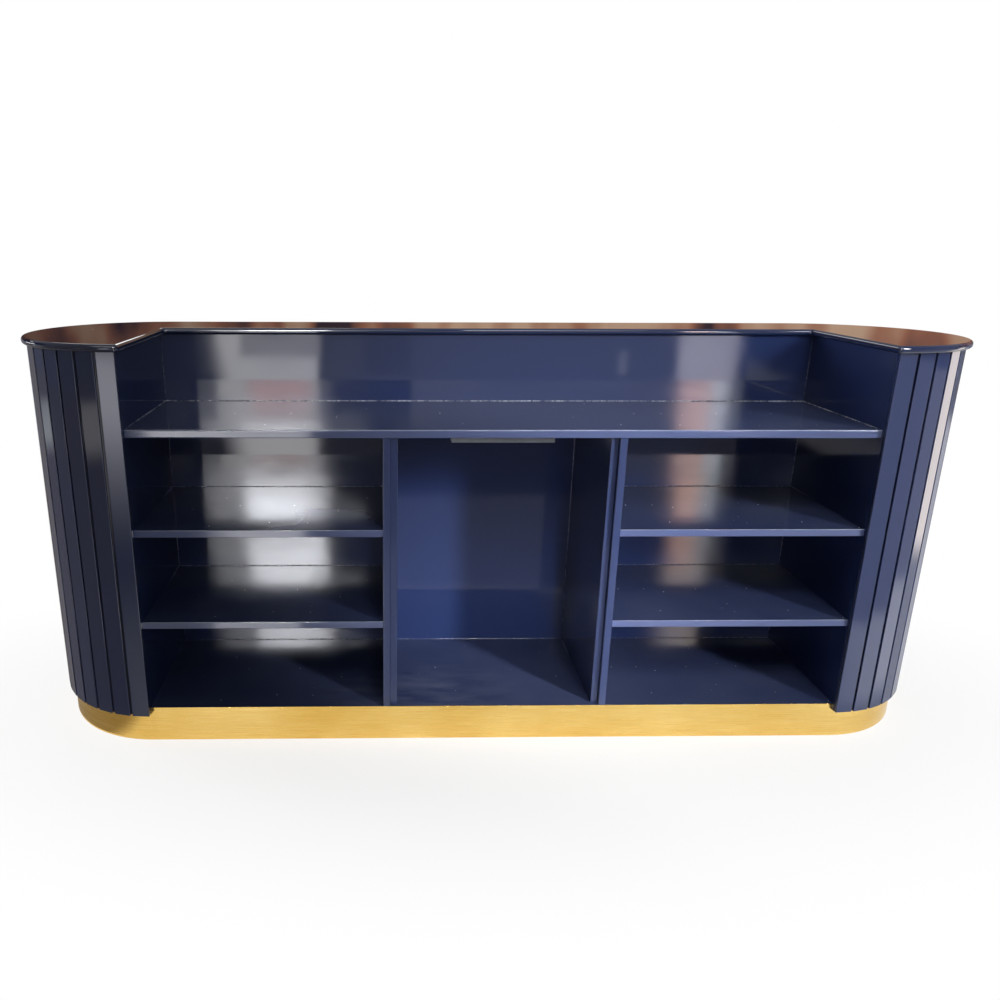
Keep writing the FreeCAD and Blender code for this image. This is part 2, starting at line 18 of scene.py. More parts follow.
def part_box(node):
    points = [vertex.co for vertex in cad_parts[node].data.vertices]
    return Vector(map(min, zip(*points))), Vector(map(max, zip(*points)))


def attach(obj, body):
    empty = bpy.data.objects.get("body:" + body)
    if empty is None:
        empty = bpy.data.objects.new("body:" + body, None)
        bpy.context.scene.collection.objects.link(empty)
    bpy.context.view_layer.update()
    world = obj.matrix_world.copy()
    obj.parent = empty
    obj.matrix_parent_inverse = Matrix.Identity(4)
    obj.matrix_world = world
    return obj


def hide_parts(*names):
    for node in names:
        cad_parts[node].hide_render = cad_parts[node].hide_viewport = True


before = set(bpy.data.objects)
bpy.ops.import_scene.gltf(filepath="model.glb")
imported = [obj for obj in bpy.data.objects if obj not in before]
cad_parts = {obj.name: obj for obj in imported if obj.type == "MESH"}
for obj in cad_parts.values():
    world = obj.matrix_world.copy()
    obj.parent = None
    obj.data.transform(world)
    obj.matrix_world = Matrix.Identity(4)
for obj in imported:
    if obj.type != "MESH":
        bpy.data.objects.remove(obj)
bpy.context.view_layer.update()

MM = 0.001
BODY = "root"
PICTURE_SIDE = 1000
WHITE = "FFFFFF"
LOG = logging.getLogger("counter")

# The middle of a noise's values and of a UV map, and the values that most of a noise lies between.
MIDDLE = 0.5
NOISE_SPREAD = (0.3, 0.7)
# A front face and a front arris have a normal with a Y below these, and a level face a Z above the last.
# Front faces are lightened with painted light, and upper front arrises get a painted highlight.
FRONT_FACE = -0.5
FRONT_ARRIS = -0.2
LEVEL_FACE = 0.9
# The weight at which the largest faces alone decide the normals.
LARGE_FACES = 100

# The kinds of node that are added most.
VECTOR_MATH = "ShaderNodeVectorMath"
MATH = "ShaderNodeMath"
NOISE = "ShaderNodeTexNoise"
RANGE = "ShaderNodeMapRange"
MIX = "ShaderNodeMix"

Point = tuple[float, float, float]
Place = tuple[float, float]
Adder = Callable[..., Node]


class Slot(Enum):
    """The record's material slots."""

    LACQUER = "navy_lacquer"
    GOLD = "gold_band"


class End(Enum):
    """The two round ends, by the sign of their X."""

    LEFT = -1
    RIGHT = 1

    @property
    def word(self) -> str:
        """The end's name as the CAD nodes spell it."""
        return self.name.lower()


def linear(hex_colour: str) -> tuple[float, float, float, float]:
    """Turns an sRGB hex colour into linear RGBA.

    Args:
        hex_colour: Six hex digits.

    Returns:
        Red, green, blue and an alpha of 1.
    """
    parts = [int(hex_colour[i:i + 2], 16) / 255 for i in (0, 2, 4)]
    red, green, blue = (p / 12.92 if p <= 0.04045 else ((p + 0.055) / 1.055) ** 2.4 for p in parts)
    return red, green, blue, 1.0


def per_size(millimetres: float) -> float:
    """The texture scale at which one feature is this many millimetres wide."""
    return 1 / (millimetres * MM)


def span(word: str, ends: Place) -> dict[str, float]:
    """The two inputs of a range by the word they share, such as From Min and From Max."""
    return {f"{word} Min": ends[0], f"{word} Max": ends[1]}


def add_node(tree: NodeTree, kind: str, inputs: dict | None = None, **settings: object) -> Node:
    """Adds a node with its settings, values and links.

    Args:
        tree: The tree that gets the node.
        kind: The node's type name.
        inputs: Values, sockets to link from, or nodes whose first output is linked, by input name or number.
        settings: Properties of the node.

    Returns:
        The new node.
    """
    node = tree.nodes.new(kind)
    for name, value in settings.items():
        setattr(node, name, value)
    for key, value in (inputs or {}).items():
        by_number = isinstance(key, int)
        named = (s for s in node.inputs if s.enabled and s.name == key)
        socket = node.inputs[key] if by_number else next(named)
        if isinstance(value, Node):
            value = next(s for s in value.outputs if s.enabled)
        if isinstance(value, NodeSocket):
            tree.links.new(value, socket)
        else:
            socket.default_value = value
    return node


@dataclass(frozen=True)
class Finish:
    """A surface finish. Its material is made once and shared by every piece that has it."""

    name: str

    def material(self) -> Material:
        """Finds or makes the finish's material.

        Returns:
            The material, with its nodes built.
        """
        made = bpy.data.materials.get(self.name)
        if made is None:
            made = bpy.data.materials.new(self.name)
            made.use_nodes = True
            made.node_tree.nodes.clear()
            add = partial(add_node, made.node_tree)
            add("ShaderNodeOutputMaterial", {"Surface": self.shade(add)})
        return made

    def shade(self, add: Adder) -> Node:
        """Adds the finish's nodes to an empty tree and returns its shader."""
        raise NotImplementedError


@dataclass(frozen=True)
class GlossLacquer(Finish):
    """Sprayed and polished polyurethane lacquer on fibreboard.

    It gives the eye a deep navy under a clear mirror: the tone drifts a little, the spray leaves orange
    peel, the board waves gently, wiping leaves duller smears, and dust shows on what lies level. Front faces
    take a lighter colour, which is painted light, and the upper front arrises a painted highlight in
    patches.
    """

    colour: str = "28355F"
    deep: str = "222E52"
    # Painted light: the lighter colour that faces pointing to the front take.
    lit_front_colour: str = "28355F"
    roughness: Place = (0.03, 0.085)
    ior: float = 1.5
    drift_mm: float = 420.0
    smear_mm: float = 160.0
    # Real orange peel is 2 to 5 mm wide. It is drawn coarser, so that it shows from the camera.
    peel_mm: float = 16.0
    peel_depth_mm: float = 0.004
    wave_mm: float = 260.0
    wave_depth_mm: float = 0.12
    dust_pitch_mm: float = 24.0
    dust_mm: float = 1.7
    dust_share: float = 0.045
    dust_colour: str = "A6ABBC"
    dust_dulling: float = 0.6
    film_mm: float = 240.0
    film: float = 0.1
    film_spread: Place = (0.25, 0.75)
    film_thinnest: float = 0.4
    # Painted highlight on the upper front arrises: its colour, strength, and the size and spread of its
    # patches.
    highlight_colour: str = "A9AFC4"
    highlight_strength: float = 0.0
    highlight_patch_mm: float = 55.0
    highlight_patch_spread: Place = (0.3, 0.65)
    highlight_patch_least: float = 0.35
    arris_turn: Place = (0.1, 0.6)

    def shade(self, add: Adder) -> Node:
        """Adds the lacquer's nodes and returns its shader."""
        where = add("ShaderNodeTexCoord").outputs["Object"]
        facing = add("ShaderNodeSeparateXYZ", {0: add("ShaderNodeNewGeometry").outputs["Normal"]})
        drift = add(NOISE, {"Vector": where, "Scale": per_size(self.drift_mm), "Detail": 4.0})
        # Painted light: faces that point to the front are mixed to their lighter colour.
        front = add(MATH, {0: facing.outputs["Y"], 1: FRONT_FACE}, operation="LESS_THAN")
        # Painted highlight along the upper front arrises, in patches.
        arris_lit = self.arris_highlight(add, where, facing)
        dust = self.dust(add, where, facing.outputs["Z"])
        colour = linear(self.deep)
        for share, over in (
                (drift, self.colour), (front, self.lit_front_colour), (arris_lit, self.highlight_colour), (dust, self.dust_colour)):
            colour = add(MIX, {"Factor": share, "A": colour, "B": linear(over)}, data_type="RGBA")
        smear = add(NOISE, {
            "Vector": where, "Scale": per_size(self.smear_mm), "Detail": 6.0, "Distortion": 0.6})
        gloss = add(RANGE, {"Value": smear, **span("From", NOISE_SPREAD), **span("To", self.roughness)})
        dull = add(MATH, {0: dust, 1: self.dust_dulling, 2: gloss}, operation="MULTIPLY_ADD")
        return add("ShaderNodeBsdfPrincipled", {
            "Base Color": colour, "Roughness": dull, "IOR": self.ior, "Normal": self.surface(add, where)})

    def arris_highlight(self, add: Adder, where: NodeSocket, facing: Node) -> Node:
        """Adds a painted highlight along the upper arris of a front edge, uneven in patches.

        Args:
            add: Adds a node to the material.
            where: Object coordinates.
            facing: The face normal, separated.

        Returns:
            A node whose value is how strong the painted highlight is.
        """
        arris = add(RANGE, {
            "Value": facing.outputs["Z"], **span("From", self.arris_turn), "To Max": self.highlight_strength})
        front = add(MATH, {0: facing.outputs["Y"], 1: FRONT_ARRIS}, operation="LESS_THAN")
        patches = add(NOISE, {"Vector": where, "Scale": per_size(self.highlight_patch_mm), "Detail": 4.0})
        uneven = add(RANGE, {"Value": patches, **span("From", self.highlight_patch_spread), "To Min": self.highlight_patch_least})
        line = add(MATH, {0: arris, 1: front}, operation="MULTIPLY")
        return add(MATH, {0: line, 1: uneven}, operation="MULTIPLY")

    def surface(self, add: Adder, where: NodeSocket) -> Node:
        """Adds the board's waves and the spray's orange peel.

        Args:
            add: Adds a node to the material.
            where: Object coordinates.

        Returns:
            The bump node that carries both.
        """
        below = {}
        for width, depth in ((self.wave_mm, self.wave_depth_mm), (self.peel_mm, self.peel_depth_mm)):
            height = add(NOISE, {"Vector": where, "Scale": per_size(width), "Detail": 1.0})
            bump = add("ShaderNodeBump", {"Height": height, "Distance": depth * MM, **below})
            below = {"Normal": bump}
        return bump

    def dust(self, add: Adder, where: NodeSocket, up: NodeSocket) -> Node:
        """Adds specks and a thin film of dust on faces that point up.

        Args:
            add: Adds a node to the material.
            where: Object coordinates.
            up: The face normal's Z.

        Returns:
            A node whose value is 1 on a speck, small on the film and 0 elsewhere.
        """
        scale = per_size(self.dust_pitch_mm)
        cells = add("ShaderNodeTexVoronoi", {"Vector": where, "Scale": scale}, voronoi_dimensions="2D")
        chance = add("ShaderNodeSeparateColor", {0: cells.outputs["Color"]})
        reach = add(MATH, {0: chance.outputs["Green"], 1: self.dust_mm * MM * scale}, operation="MULTIPLY")
        near = add(MATH, {0: cells.outputs["Distance"], 1: reach}, operation="LESS_THAN")
        chosen = add(MATH, {0: chance.outputs["Red"], 1: self.dust_share}, operation="LESS_THAN")
        level = add(MATH, {0: up, 1: LEVEL_FACE}, operation="GREATER_THAN")
        speck = add(MATH, {0: near, 1: chosen}, operation="MULTIPLY")
        both = add(MATH, {0: speck, 1: self.haze(add, where)}, operation="MAXIMUM")
        return add(MATH, {0: both, 1: level}, operation="MULTIPLY")

    def haze(self, add: Adder, where: NodeSocket) -> Node:
        """Adds the thin, cloudy film of dust.

        Args:
            add: Adds a node to the material.
            where: Object coordinates.

        Returns:
            A node whose value is how thick the film is.
        """
        cloud = add(NOISE, {"Vector": where, "Scale": per_size(self.film_mm), "Detail": 3.0})
        thin = self.film * self.film_thinnest
        return add(RANGE, {
            "Value": cloud, **span("From", self.film_spread), **span("To", (thin, self.film))})


@dataclass(frozen=True)
class ScuffedLacquer(GlossLacquer):
    """The same lacquer on the floor of the knee space, where shoes leave dull, pale scuffs in front."""

    scuff: float = 0.2
    scuff_mm: Place = (120.0, 35.0)
    scuff_centre: Point = (-0.19, -0.22, 0.0)
    scuff_reach: Point = (0.3, 0.18, 1.0)
    scuff_fade: Place = (1.0, 0.2)
    scuff_spread: Place = (0.35, 0.75)

    def haze(self, add: Adder, where: NodeSocket) -> Node:
        """Adds the scuffs to the film of dust.

        Args:
            add: Adds a node to the material.
            where: Object coordinates.

        Returns:
            A node whose value is how pale the film and the scuffs are.
        """
        film = super().haze(add, where)
        from_centre = add(VECTOR_MATH, {0: where, 1: self.scuff_centre}, operation="SUBTRACT")
        scaled = add(VECTOR_MATH, {0: from_centre, 1: self.scuff_reach}, operation="DIVIDE")
        away = add(VECTOR_MATH, {0: scaled}, operation="LENGTH").outputs["Value"]
        near = add(RANGE, {"Value": away, **span("From", self.scuff_fade)})
        along, across = (per_size(width) for width in self.scuff_mm)
        drawn_out = add("ShaderNodeMapping", {"Vector": where, "Scale": (along, across, across)})
        rubs = add(NOISE, {"Vector": drawn_out, "Scale": 1.0, "Detail": 5.0})
        marks = add(RANGE, {"Value": rubs, **span("From", self.scuff_spread), "To Max": self.scuff})
        local = add(MATH, {0: marks, 1: near}, operation="MULTIPLY")
        return add(MATH, {0: film, 1: local}, operation="ADD")


@dataclass(frozen=True)
class HairlineGold(Finish):
    """Gold-coloured stainless sheet with a hairline grind along its length.

    It gives the eye a warm, satin metal: fine level lines, a soft sheen and slow changes of tone.
    """

    colour: str = "F6D484"
    deep: str = "DFB256"
    contrast: Place = (0.12, 0.4)
    roughness: Place = (0.22, 0.3)
    # Real hairlines are about 0.1 mm apart. They are drawn coarser, so that they show from the camera.
    line_mm: float = 1.1
    line_run_mm: float = 140.0
    line_depth_mm: float = 0.006
    drift_mm: float = 330.0

    def shade(self, add: Adder) -> Node:
        """Adds the metal's nodes and returns its shader."""
        where = add("ShaderNodeTexCoord").outputs["Object"]
        along = per_size(self.line_run_mm)
        stretched = add("ShaderNodeMapping", {
            "Vector": where, "Scale": (along, along, per_size(self.line_mm))})
        lines = add(NOISE, {"Vector": stretched, "Scale": 1.0, "Detail": 3.0})
        drift = add(NOISE, {"Vector": where, "Scale": per_size(self.drift_mm), "Detail": 3.0})
        both = add(MATH, {0: lines, 1: drift}, operation="MULTIPLY")
        share = add(RANGE, {"Value": both, **span("From", self.contrast)})
        tone = add(MIX, {
            "Factor": share, "A": linear(self.deep), "B": linear(self.colour)}, data_type="RGBA")
        gloss = add(RANGE, {"Value": lines, **span("From", NOISE_SPREAD), **span("To", self.roughness)})
        grind = add("ShaderNodeBump", {"Height": lines, "Distance": self.line_depth_mm * MM})
        return add("ShaderNodeBsdfPrincipled", {
            "Base Color": tone, "Metallic": 1.0, "Roughness": gloss, "Normal": grind})


@dataclass(frozen=True)
class GrainedSolid(Finish):
    """A plain material with a mottled colour and a fine grain, such as fibreboard, paint or sealant."""

    colour: str
    deep: str
    roughness: float
    grain_mm: float
    grain_depth_mm: float
    mottle_mm: float
    contrast: Place = (0.1, 0.42)
    ior: float = 1.5

    def shade(self, add: Adder) -> Node:
        """Adds the material's nodes and returns its shader."""
        where = add("ShaderNodeTexCoord").outputs["Object"]
        mottle = add(NOISE, {"Vector": where, "Scale": per_size(self.mottle_mm), "Detail": 5.0})
        grain = add(NOISE, {"Vector": where, "Scale": per_size(self.grain_mm), "Detail": 2.0})
        both = add(MATH, {0: mottle, 1: grain}, operation="MULTIPLY")
        share = add(RANGE, {"Value": both, **span("From", self.contrast)})
        tone = add(MIX, {
            "Factor": share, "A": linear(self.deep), "B": linear(self.colour)}, data_type="RGBA")
        bump = add("ShaderNodeBump", {"Height": grain, "Distance": self.grain_depth_mm * MM})
        return add("ShaderNodeBsdfPrincipled", {
            "Base Color": tone, "Roughness": self.roughness, "IOR": self.ior, "Normal": bump})


def white_rays(add: Adder) -> Node:
    """Adds a test for the rays that see the white background.

    Args:
        add: Adds a node to a material or to the world.

    Returns:
        A node whose value is 1 for camera and transmission rays.
    """
    path = add("ShaderNodeLightPath").outputs
    return add(MATH, {0: path["Is Camera Ray"], 1: path["Is Transmission Ray"]}, operation="MAXIMUM")


@dataclass(frozen=True)
class PaperFloor(Finish):
    """Matt white background paper, which fades into the backdrop away from the object.

    What is seen straight fades to white. What the gloss shows fades to the tone of a room.
    """

    colour: str = "F4F4F4"
    deep: str = "EFEFF0"
    room: str = "8C8C92"
    mottle_mm: float = 300.0
    seen_fade: Place = (0.4, 1.0)
    seen_scale: Point = (0.5, 1.0, 1.0)
    gloss_fade: Place = (0.8, 2.2)
    near_white: float = 0.82

    def shade(self, add: Adder) -> Node:
        """Adds the paper's nodes and returns its shader."""
        where = add("ShaderNodeTexCoord").outputs["Object"]
        mottle = add(NOISE, {"Vector": where, "Scale": per_size(self.mottle_mm), "Detail": 3.0})
        tone = add(MIX, {
            "Factor": mottle, "A": linear(self.deep), "B": linear(self.colour)}, data_type="RGBA")
        paper = add("ShaderNodeBsdfDiffuse", {"Color": tone})
        oval = add("ShaderNodeMapping", {"Vector": where, "Scale": self.seen_scale})
        seen = self.fade(add, oval, self.seen_fade)
        mirrored = self.fade(add, where, self.gloss_fade)
        glossy = add("ShaderNodeLightPath").outputs["Is Glossy Ray"]
        fade = add(MIX, {"Factor": glossy, "A": seen, "B": mirrored})
        either = add(MATH, {0: white_rays(add), 1: glossy}, operation="MAXIMUM")
        white = add(RANGE, {"Value": fade, "To Min": self.near_white})
        share = add(MATH, {0: white, 1: either}, operation="MULTIPLY")
        dim = add(MATH, {0: glossy, 1: mirrored}, operation="MULTIPLY")
        beyond = add(MIX, {"Factor": dim, "A": linear(WHITE), "B": linear(self.room)}, data_type="RGBA")
        backdrop = add("ShaderNodeEmission", {"Color": beyond})
        return add("ShaderNodeMixShader", {0: share, 1: paper, 2: backdrop})

    def fade(self, add: Adder, where: Node | NodeSocket, limits: Place) -> Node:
        """Adds a fade with the distance from the origin.

        Args:
            add: Adds a node to the material.
            where: The coordinates to measure.
            limits: The distances at which the fade starts and ends, in metres.

        Returns:
            A node whose value goes from 0 to 1.
        """
        away = add(VECTOR_MATH, {0: where}, operation="LENGTH").outputs["Value"]
        return add(RANGE, {"Value": away, **span("From", limits)}, interpolation_type="SMOOTHSTEP")


@dataclass(frozen=True)
class SoftGlow(Finish):
    """A lit panel whose light fades out at its edges, by its own UV map."""

    colour: str
    strength: float
    soft: Place

    def shade(self, add: Adder) -> Node:
        """Adds the panel's nodes and returns its shader."""
        spot = add("ShaderNodeSeparateXYZ", {0: add("ShaderNodeTexCoord").outputs["UV"]})
        shares = []
        for axis, soft in zip("XY", self.soft):
            from_middle = add(MATH, {0: spot.outputs[axis], 1: MIDDLE}, operation="SUBTRACT")
            away = add(MATH, {0: from_middle}, operation="ABSOLUTE")
            shares.append(add(RANGE, {
                "Value": away, **span("From", (MIDDLE, MIDDLE - soft))}, interpolation_type="SMOOTHSTEP"))
        share = add(MATH, {0: shares[0], 1: shares[1]}, operation="MULTIPLY")
        glow = add("ShaderNodeEmission", {"Color": linear(self.colour), "Strength": self.strength})
        clear = add("ShaderNodeBsdfTransparent")
        return add("ShaderNodeMixShader", {0: share, 1: clear, 2: glow})


@dataclass(frozen=True)
class RoomTones(Finish):
    """The warm walls of a room, as upright bands of brown, for the gloss to show."""

    dark: str = "402E26"
    warm: str = "A87050"
    pale: str = "D0AC8C"
    spots: Point = (0.37, 0.5, 0.63)
    band_mm: float = 330.0
    slender: float = 3.0
    dim_left: float = 0.17
    dim_reach: Place = (-3.2, 0.2)

    def shade(self, add: Adder) -> Node:
        """Adds the wall's nodes and returns its shader."""
        where = add("ShaderNodeTexCoord").outputs["Object"]
        wide = per_size(self.band_mm)
        upright = add("ShaderNodeMapping", {"Vector": where, "Scale": (wide, wide, wide / self.slender)})
        bands = add(NOISE, {"Vector": upright, "Scale": 1.0, "Detail": 2.0})
        tones = add("ShaderNodeValToRGB", {"Fac": bands})
        ramp = tones.color_ramp
        for spot, colour in zip(self.spots, (self.dark, self.warm, self.pale)):
            ramp.elements.new(spot).color = linear(colour)
        ramp.elements.remove(ramp.elements[0])
        ramp.elements.remove(ramp.elements[-1])
        side = add("ShaderNodeSeparateXYZ", {0: where})
        level = add(RANGE, {"Value": side, **span("From", self.dim_reach), "To Min": self.dim_left})
        return add("ShaderNodeEmission", {"Color": tones.outputs["Color"], "Strength": level})


# The counter's lacquers, which differ in gloss, dust, waves, painted light on front faces and painted arris
# highlights.
PANEL_LACQUER = GlossLacquer("gloss_lacquer_panels")
UPRIGHT_LACQUER = GlossLacquer("gloss_lacquer_uprights", lit_front_colour="38436A")
FLOOR_LACQUER = ScuffedLacquer("gloss_lacquer_floor")
SHELF_LACQUER = GlossLacquer(
    "gloss_lacquer_shelves", lit_front_colour="58638E", highlight_strength=0.8, roughness=(0.045, 0.11), wave_depth_mm=0.06)
SLAT_LACQUER = GlossLacquer("gloss_lacquer_slats", dust_share=0.0, film=0.0, wave_depth_mm=0.3)
TOP_LACQUER = GlossLacquer(
    "mirror_lacquer_top", colour="212C50", deep="1C2544", lit_front_colour="212C50", roughness=(0.02, 0.05),
    dust_share=0.02, film=0.02)
GOLD_SHEET = HairlineGold("hairline_gold_steel")
# Sawn board gives the eye a dull, mottled brown.
BARE_FIBREBOARD = GrainedSolid(
    "bare_fibreboard", colour="B08A60", deep="8C6A46", roughness=0.85, grain_mm=2.5, grain_depth_mm=0.05,
    mottle_mm=60.0)
# Satin paint gives it a nearly even grey with a soft sheen.
PAINTED_BAR = GrainedSolid(
    "satin_grey_paint", colour="7E8490", deep="666B76", roughness=0.42, grain_mm=1.6, grain_depth_mm=0.02,
    mottle_mm=30.0)
# A bead of sealant is pale and smooth. Its colour breaks into pale and dark lengths, the pale ones partly a
# painted highlight. One lacquered over is darker.
SEALANT = GrainedSolid(
    "silicone_sealant", colour="C4C8D2", deep="2E3654", roughness=0.16, grain_mm=6.0, grain_depth_mm=0.2,
    mottle_mm=60.0, contrast=(0.16, 0.4), ior=1.41)
LACQUERED_BEAD = GrainedSolid(
    "lacquered_sealant", colour="6A7294", deep="28335A", roughness=0.12, grain_mm=6.0, grain_depth_mm=0.2,
    mottle_mm=60.0, contrast=(0.16, 0.42))


def link(thing: Object) -> Object:
    """Puts an object in the scene and returns it."""
    bpy.context.scene.collection.objects.link(thing)
    return thing


def settle(source: Object, name: str) -> Mesh:
    """Turns an object with modifiers into a plain mesh.

    Args:
        source: The object, which is removed together with its own mesh.
        name: The new mesh's name.

    Returns:
        The mesh that the modifiers make.
    """
    graph = bpy.context.evaluated_depsgraph_get()
    mesh = bpy.data.meshes.new_from_object(
        source.evaluated_get(graph), preserve_all_data_layers=True, depsgraph=graph)
    mesh.name = name
    rough = source.data
    bpy.data.objects.remove(source)
    bpy.data.meshes.remove(rough)
    return mesh


def harden(source: Object) -> None:
    """Lets the large flat faces of an object keep their own normals beside rounded edges."""
    keep_flat = source.modifiers.new("flat faces", "WEIGHTED_NORMAL")
    keep_flat.weight = LARGE_FACES


def add_piece(name: str, mesh: Mesh, slot: Slot | None, *nodes: str) -> None:
    """Adds a finished mesh as a piece of the counter.

    Args:
        name: The piece's name.
        mesh: Its mesh, in place and with its material.
        slot: The record's material slot of its finish, if it has one. It is not used.
        nodes: The CAD nodes that it stands for.
    """
    piece = link(bpy.data.objects.new(name, mesh))
    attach(piece, BODY)
    if nodes:
        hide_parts(*nodes)
    LOG.info("%s: %d faces, for %s", name, len(mesh.polygons), ", ".join(nodes) or "itself")


def dress(node: str, finish: Finish) -> None:
    """Gives a CAD node that stays in sight its finish."""
    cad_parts[node].material_slots[0].material = finish.material()
    LOG.info("%s: CAD solid in %s", node, finish.name)


def arc(centre: Place, radius: float, start: float, finish: float, steps: int) -> list[Place]:
    """Points along an arc, both ends included.

    Args:
        centre: The arc's centre.
        radius: Its radius.
        start: The first point's angle in degrees, from +X.
        finish: The last point's angle.
        steps: How many straight steps it has.

    Returns:
        The points, in order.
    """
    turns = [math.radians(start + (finish - start) * i / steps) for i in range(steps + 1)]
    return [(centre[0] + radius * math.cos(t), centre[1] + radius * math.sin(t)) for t in turns]


def stack_loops(loops: list[list[Point]], finish: Finish, name: str) -> Mesh:
    """Skins closed loops of points, the lowest first, and caps both ends.

    Args:
        loops: Loops that run anticlockwise seen from above, with as many points each.
        finish: The mesh's finish.
        name: The mesh's name.

    Returns:
        A closed mesh with smooth shading.
    """
    shape = bmesh.new()
    rings = [[shape.verts.new(point) for point in loop] for loop in loops]
    count = len(rings[0])
    for lower, upper in zip(rings, rings[1:]):
        for i in range(count):
            j = (i + 1) % count
            shape.faces.new((lower[i], lower[j], upper[j], upper[i]))
    shape.faces.new(rings[-1])
    shape.faces.new(list(reversed(rings[0])))
    for face in shape.faces:
        face.smooth = True
    mesh = bpy.data.meshes.new(name)
    shape.to_mesh(mesh)
    shape.free()
    mesh.materials.append(finish.material())
    return mesh


def line_mesh(name: str, paths: list[list[Point]]) -> Mesh:
    """Makes a mesh of open lines.

    Args:
        name: The mesh's name.
        paths: The points of each line.

    Returns:
        A mesh with edges and no faces.
    """
    points, edges = [], []
    for path in paths:
        first = len(points)
        points += path
        edges += [(first + i, first + i + 1) for i in range(len(path) - 1)]
    mesh = bpy.data.meshes.new(name)
    mesh.from_pydata(points, edges, [])
    return mesh


class Recipe:
    """A Geometry Nodes tree with named inputs, which makes plain meshes."""

    SOCKETS = {
        int: "NodeSocketInt", float: "NodeSocketFloat", tuple: "NodeSocketVector",
        Finish: "NodeSocketMaterial"}

    def __init__(self, name: str, inputs: dict[str, type]) -> None:
        """Starts the tree with a geometry input and the named ones.

        Args:
            name: The tree's name.
            inputs: Each input's type by its name.
        """
        self.tree = bpy.data.node_groups.new(name, "GeometryNodeTree")
        self.add: Adder = partial(add_node, self.tree)
        interface = self.tree.interface
        interface.new_socket("Geometry", in_out="INPUT", socket_type="NodeSocketGeometry")
        self.sockets = {
            word: interface.new_socket(word, in_out="INPUT", socket_type=self.SOCKETS[kind]).identifier
            for word, kind in inputs.items()}
        interface.new_socket("Geometry", in_out="OUTPUT", socket_type="NodeSocketGeometry")
        self.given = self.add("NodeGroupInput").outputs

    def end(self, shape: Node) -> None:
        """Ends the tree: instances become real and smooth, and the finish is set."""
        real = self.add("GeometryNodeRealizeInstances", {"Geometry": shape})
        smooth = self.add("GeometryNodeSetShadeSmooth", {"Geometry": real})
        dressed = self.add("GeometryNodeSetMaterial", {"Geometry": smooth, "Material": self.given["Finish"]})
        self.add("NodeGroupOutput", {"Geometry": dressed})

    def make(self, name: str, start: Mesh, flat: bool = False, **values: object) -> Mesh:
        """Runs the tree on a mesh.

        Args:
            name: The new mesh's name.
            start: The mesh that goes in.
            flat: Whether large faces keep their own normals.
            values: The named inputs, with an underscore for each space.

        Returns:
            A plain mesh.
        """
        source = link(bpy.data.objects.new(name, start))
        runner = source.modifiers.new(name, "NODES")
        runner.node_group = self.tree
        for word, value in values.items():
            setting = value.material() if isinstance(value, Finish) else value
            runner[self.sockets[word.replace("_", " ")]] = setting
        if flat:
            harden(source)
        return settle(source, name)


def slat_recipe() -> Recipe:
    """A recipe that repeats one slat along a line, round an axis, or both.

    Returns:
        The recipe. Its play turns each slat a little, as slats glued on by hand are.
    """
    recipe = Recipe("repeat_slats", {
        "Count": int, "Start": tuple, "Pitch": tuple, "First Turn": float, "Turn Step": float,
        "Play": float, "Seed": int, "Finish": Finish})
    add, given = recipe.add, recipe.given
    index = add("GeometryNodeInputIndex")
    place = add(VECTOR_MATH, {0: given["Pitch"], 1: index, 2: given["Start"]}, operation="MULTIPLY_ADD")
    points = add("GeometryNodePoints", {"Count": given["Count"], "Position": place})
    turn = add(MATH, {0: given["Turn Step"], 1: index, 2: given["First Turn"]}, operation="MULTIPLY_ADD")
    back = add(MATH, {0: given["Play"], 1: -1.0}, operation="MULTIPLY")
    play = add("FunctionNodeRandomValue", {
        "Min": back, "Max": given["Play"], "ID": index, "Seed": given["Seed"]})
    angle = add(MATH, {0: turn, 1: play}, operation="ADD")
    euler = add("ShaderNodeCombineXYZ", {"Z": angle})
    rotation = add("FunctionNodeEulerToRotation", {"Euler": euler})
    recipe.end(add("GeometryNodeInstanceOnPoints", {
        "Points": points, "Instance": given["Geometry"], "Rotation": rotation}))
    return recipe


def band_recipe(section_cuts: int = 5, across: Point = (0.0, 1.0, 0.0)) -> Recipe:
    """A recipe that stands a thin sheet up along a path.

    Args:
        section_cuts: How often each side of the sheet's section is cut.
        across: The axes along which the sheet may wave.

    Returns:
        The recipe. The sheet waves by a fraction of a millimetre, as thin metal does between its fixings.
    """
    recipe = Recipe("stand_sheet", {
        "Height": float, "Thickness": float, "Step": float, "Wave": float, "Wave Length": float,
        "Finish": Finish})
    add, given = recipe.add, recipe.given
    path = add("GeometryNodeMeshToCurve", {"Mesh": given["Geometry"]})
    even = add("GeometryNodeResampleCurve", {"Curve": path, "Length": given["Step"]}, mode="LENGTH")
    level = add("GeometryNodeSetCurveNormal", {"Curve": even}, mode="Z_UP")
    section = add("GeometryNodeCurvePrimitiveQuadrilateral", {
        "Width": given["Thickness"], "Height": given["Height"]})
    finer = add("GeometryNodeSubdivideCurve", {"Curve": section, "Cuts": section_cuts})
    sheet = add("GeometryNodeCurveToMesh", {"Curve": level, "Profile Curve": finer, "Fill Caps": True})
    scale = add(MATH, {0: 1.0, 1: given["Wave Length"]}, operation="DIVIDE")
    noise = add(NOISE, {"Scale": scale, "Detail": 1.0})
    centred = add(MATH, {0: noise, 1: MIDDLE}, operation="SUBTRACT")
    depth = add(MATH, {0: centred, 1: given["Wave"]}, operation="MULTIPLY")
    spot = add("GeometryNodeInputPosition")
    outward = add(VECTOR_MATH, {0: spot, 1: across}, operation="MULTIPLY")
    direction = add(VECTOR_MATH, {0: outward}, operation="NORMALIZE")
    shift = add(VECTOR_MATH, {0: direction, 1: depth}, operation="MULTIPLY")
    recipe.end(add("GeometryNodeSetPosition", {"Geometry": sheet, "Offset": shift}))
    return recipe


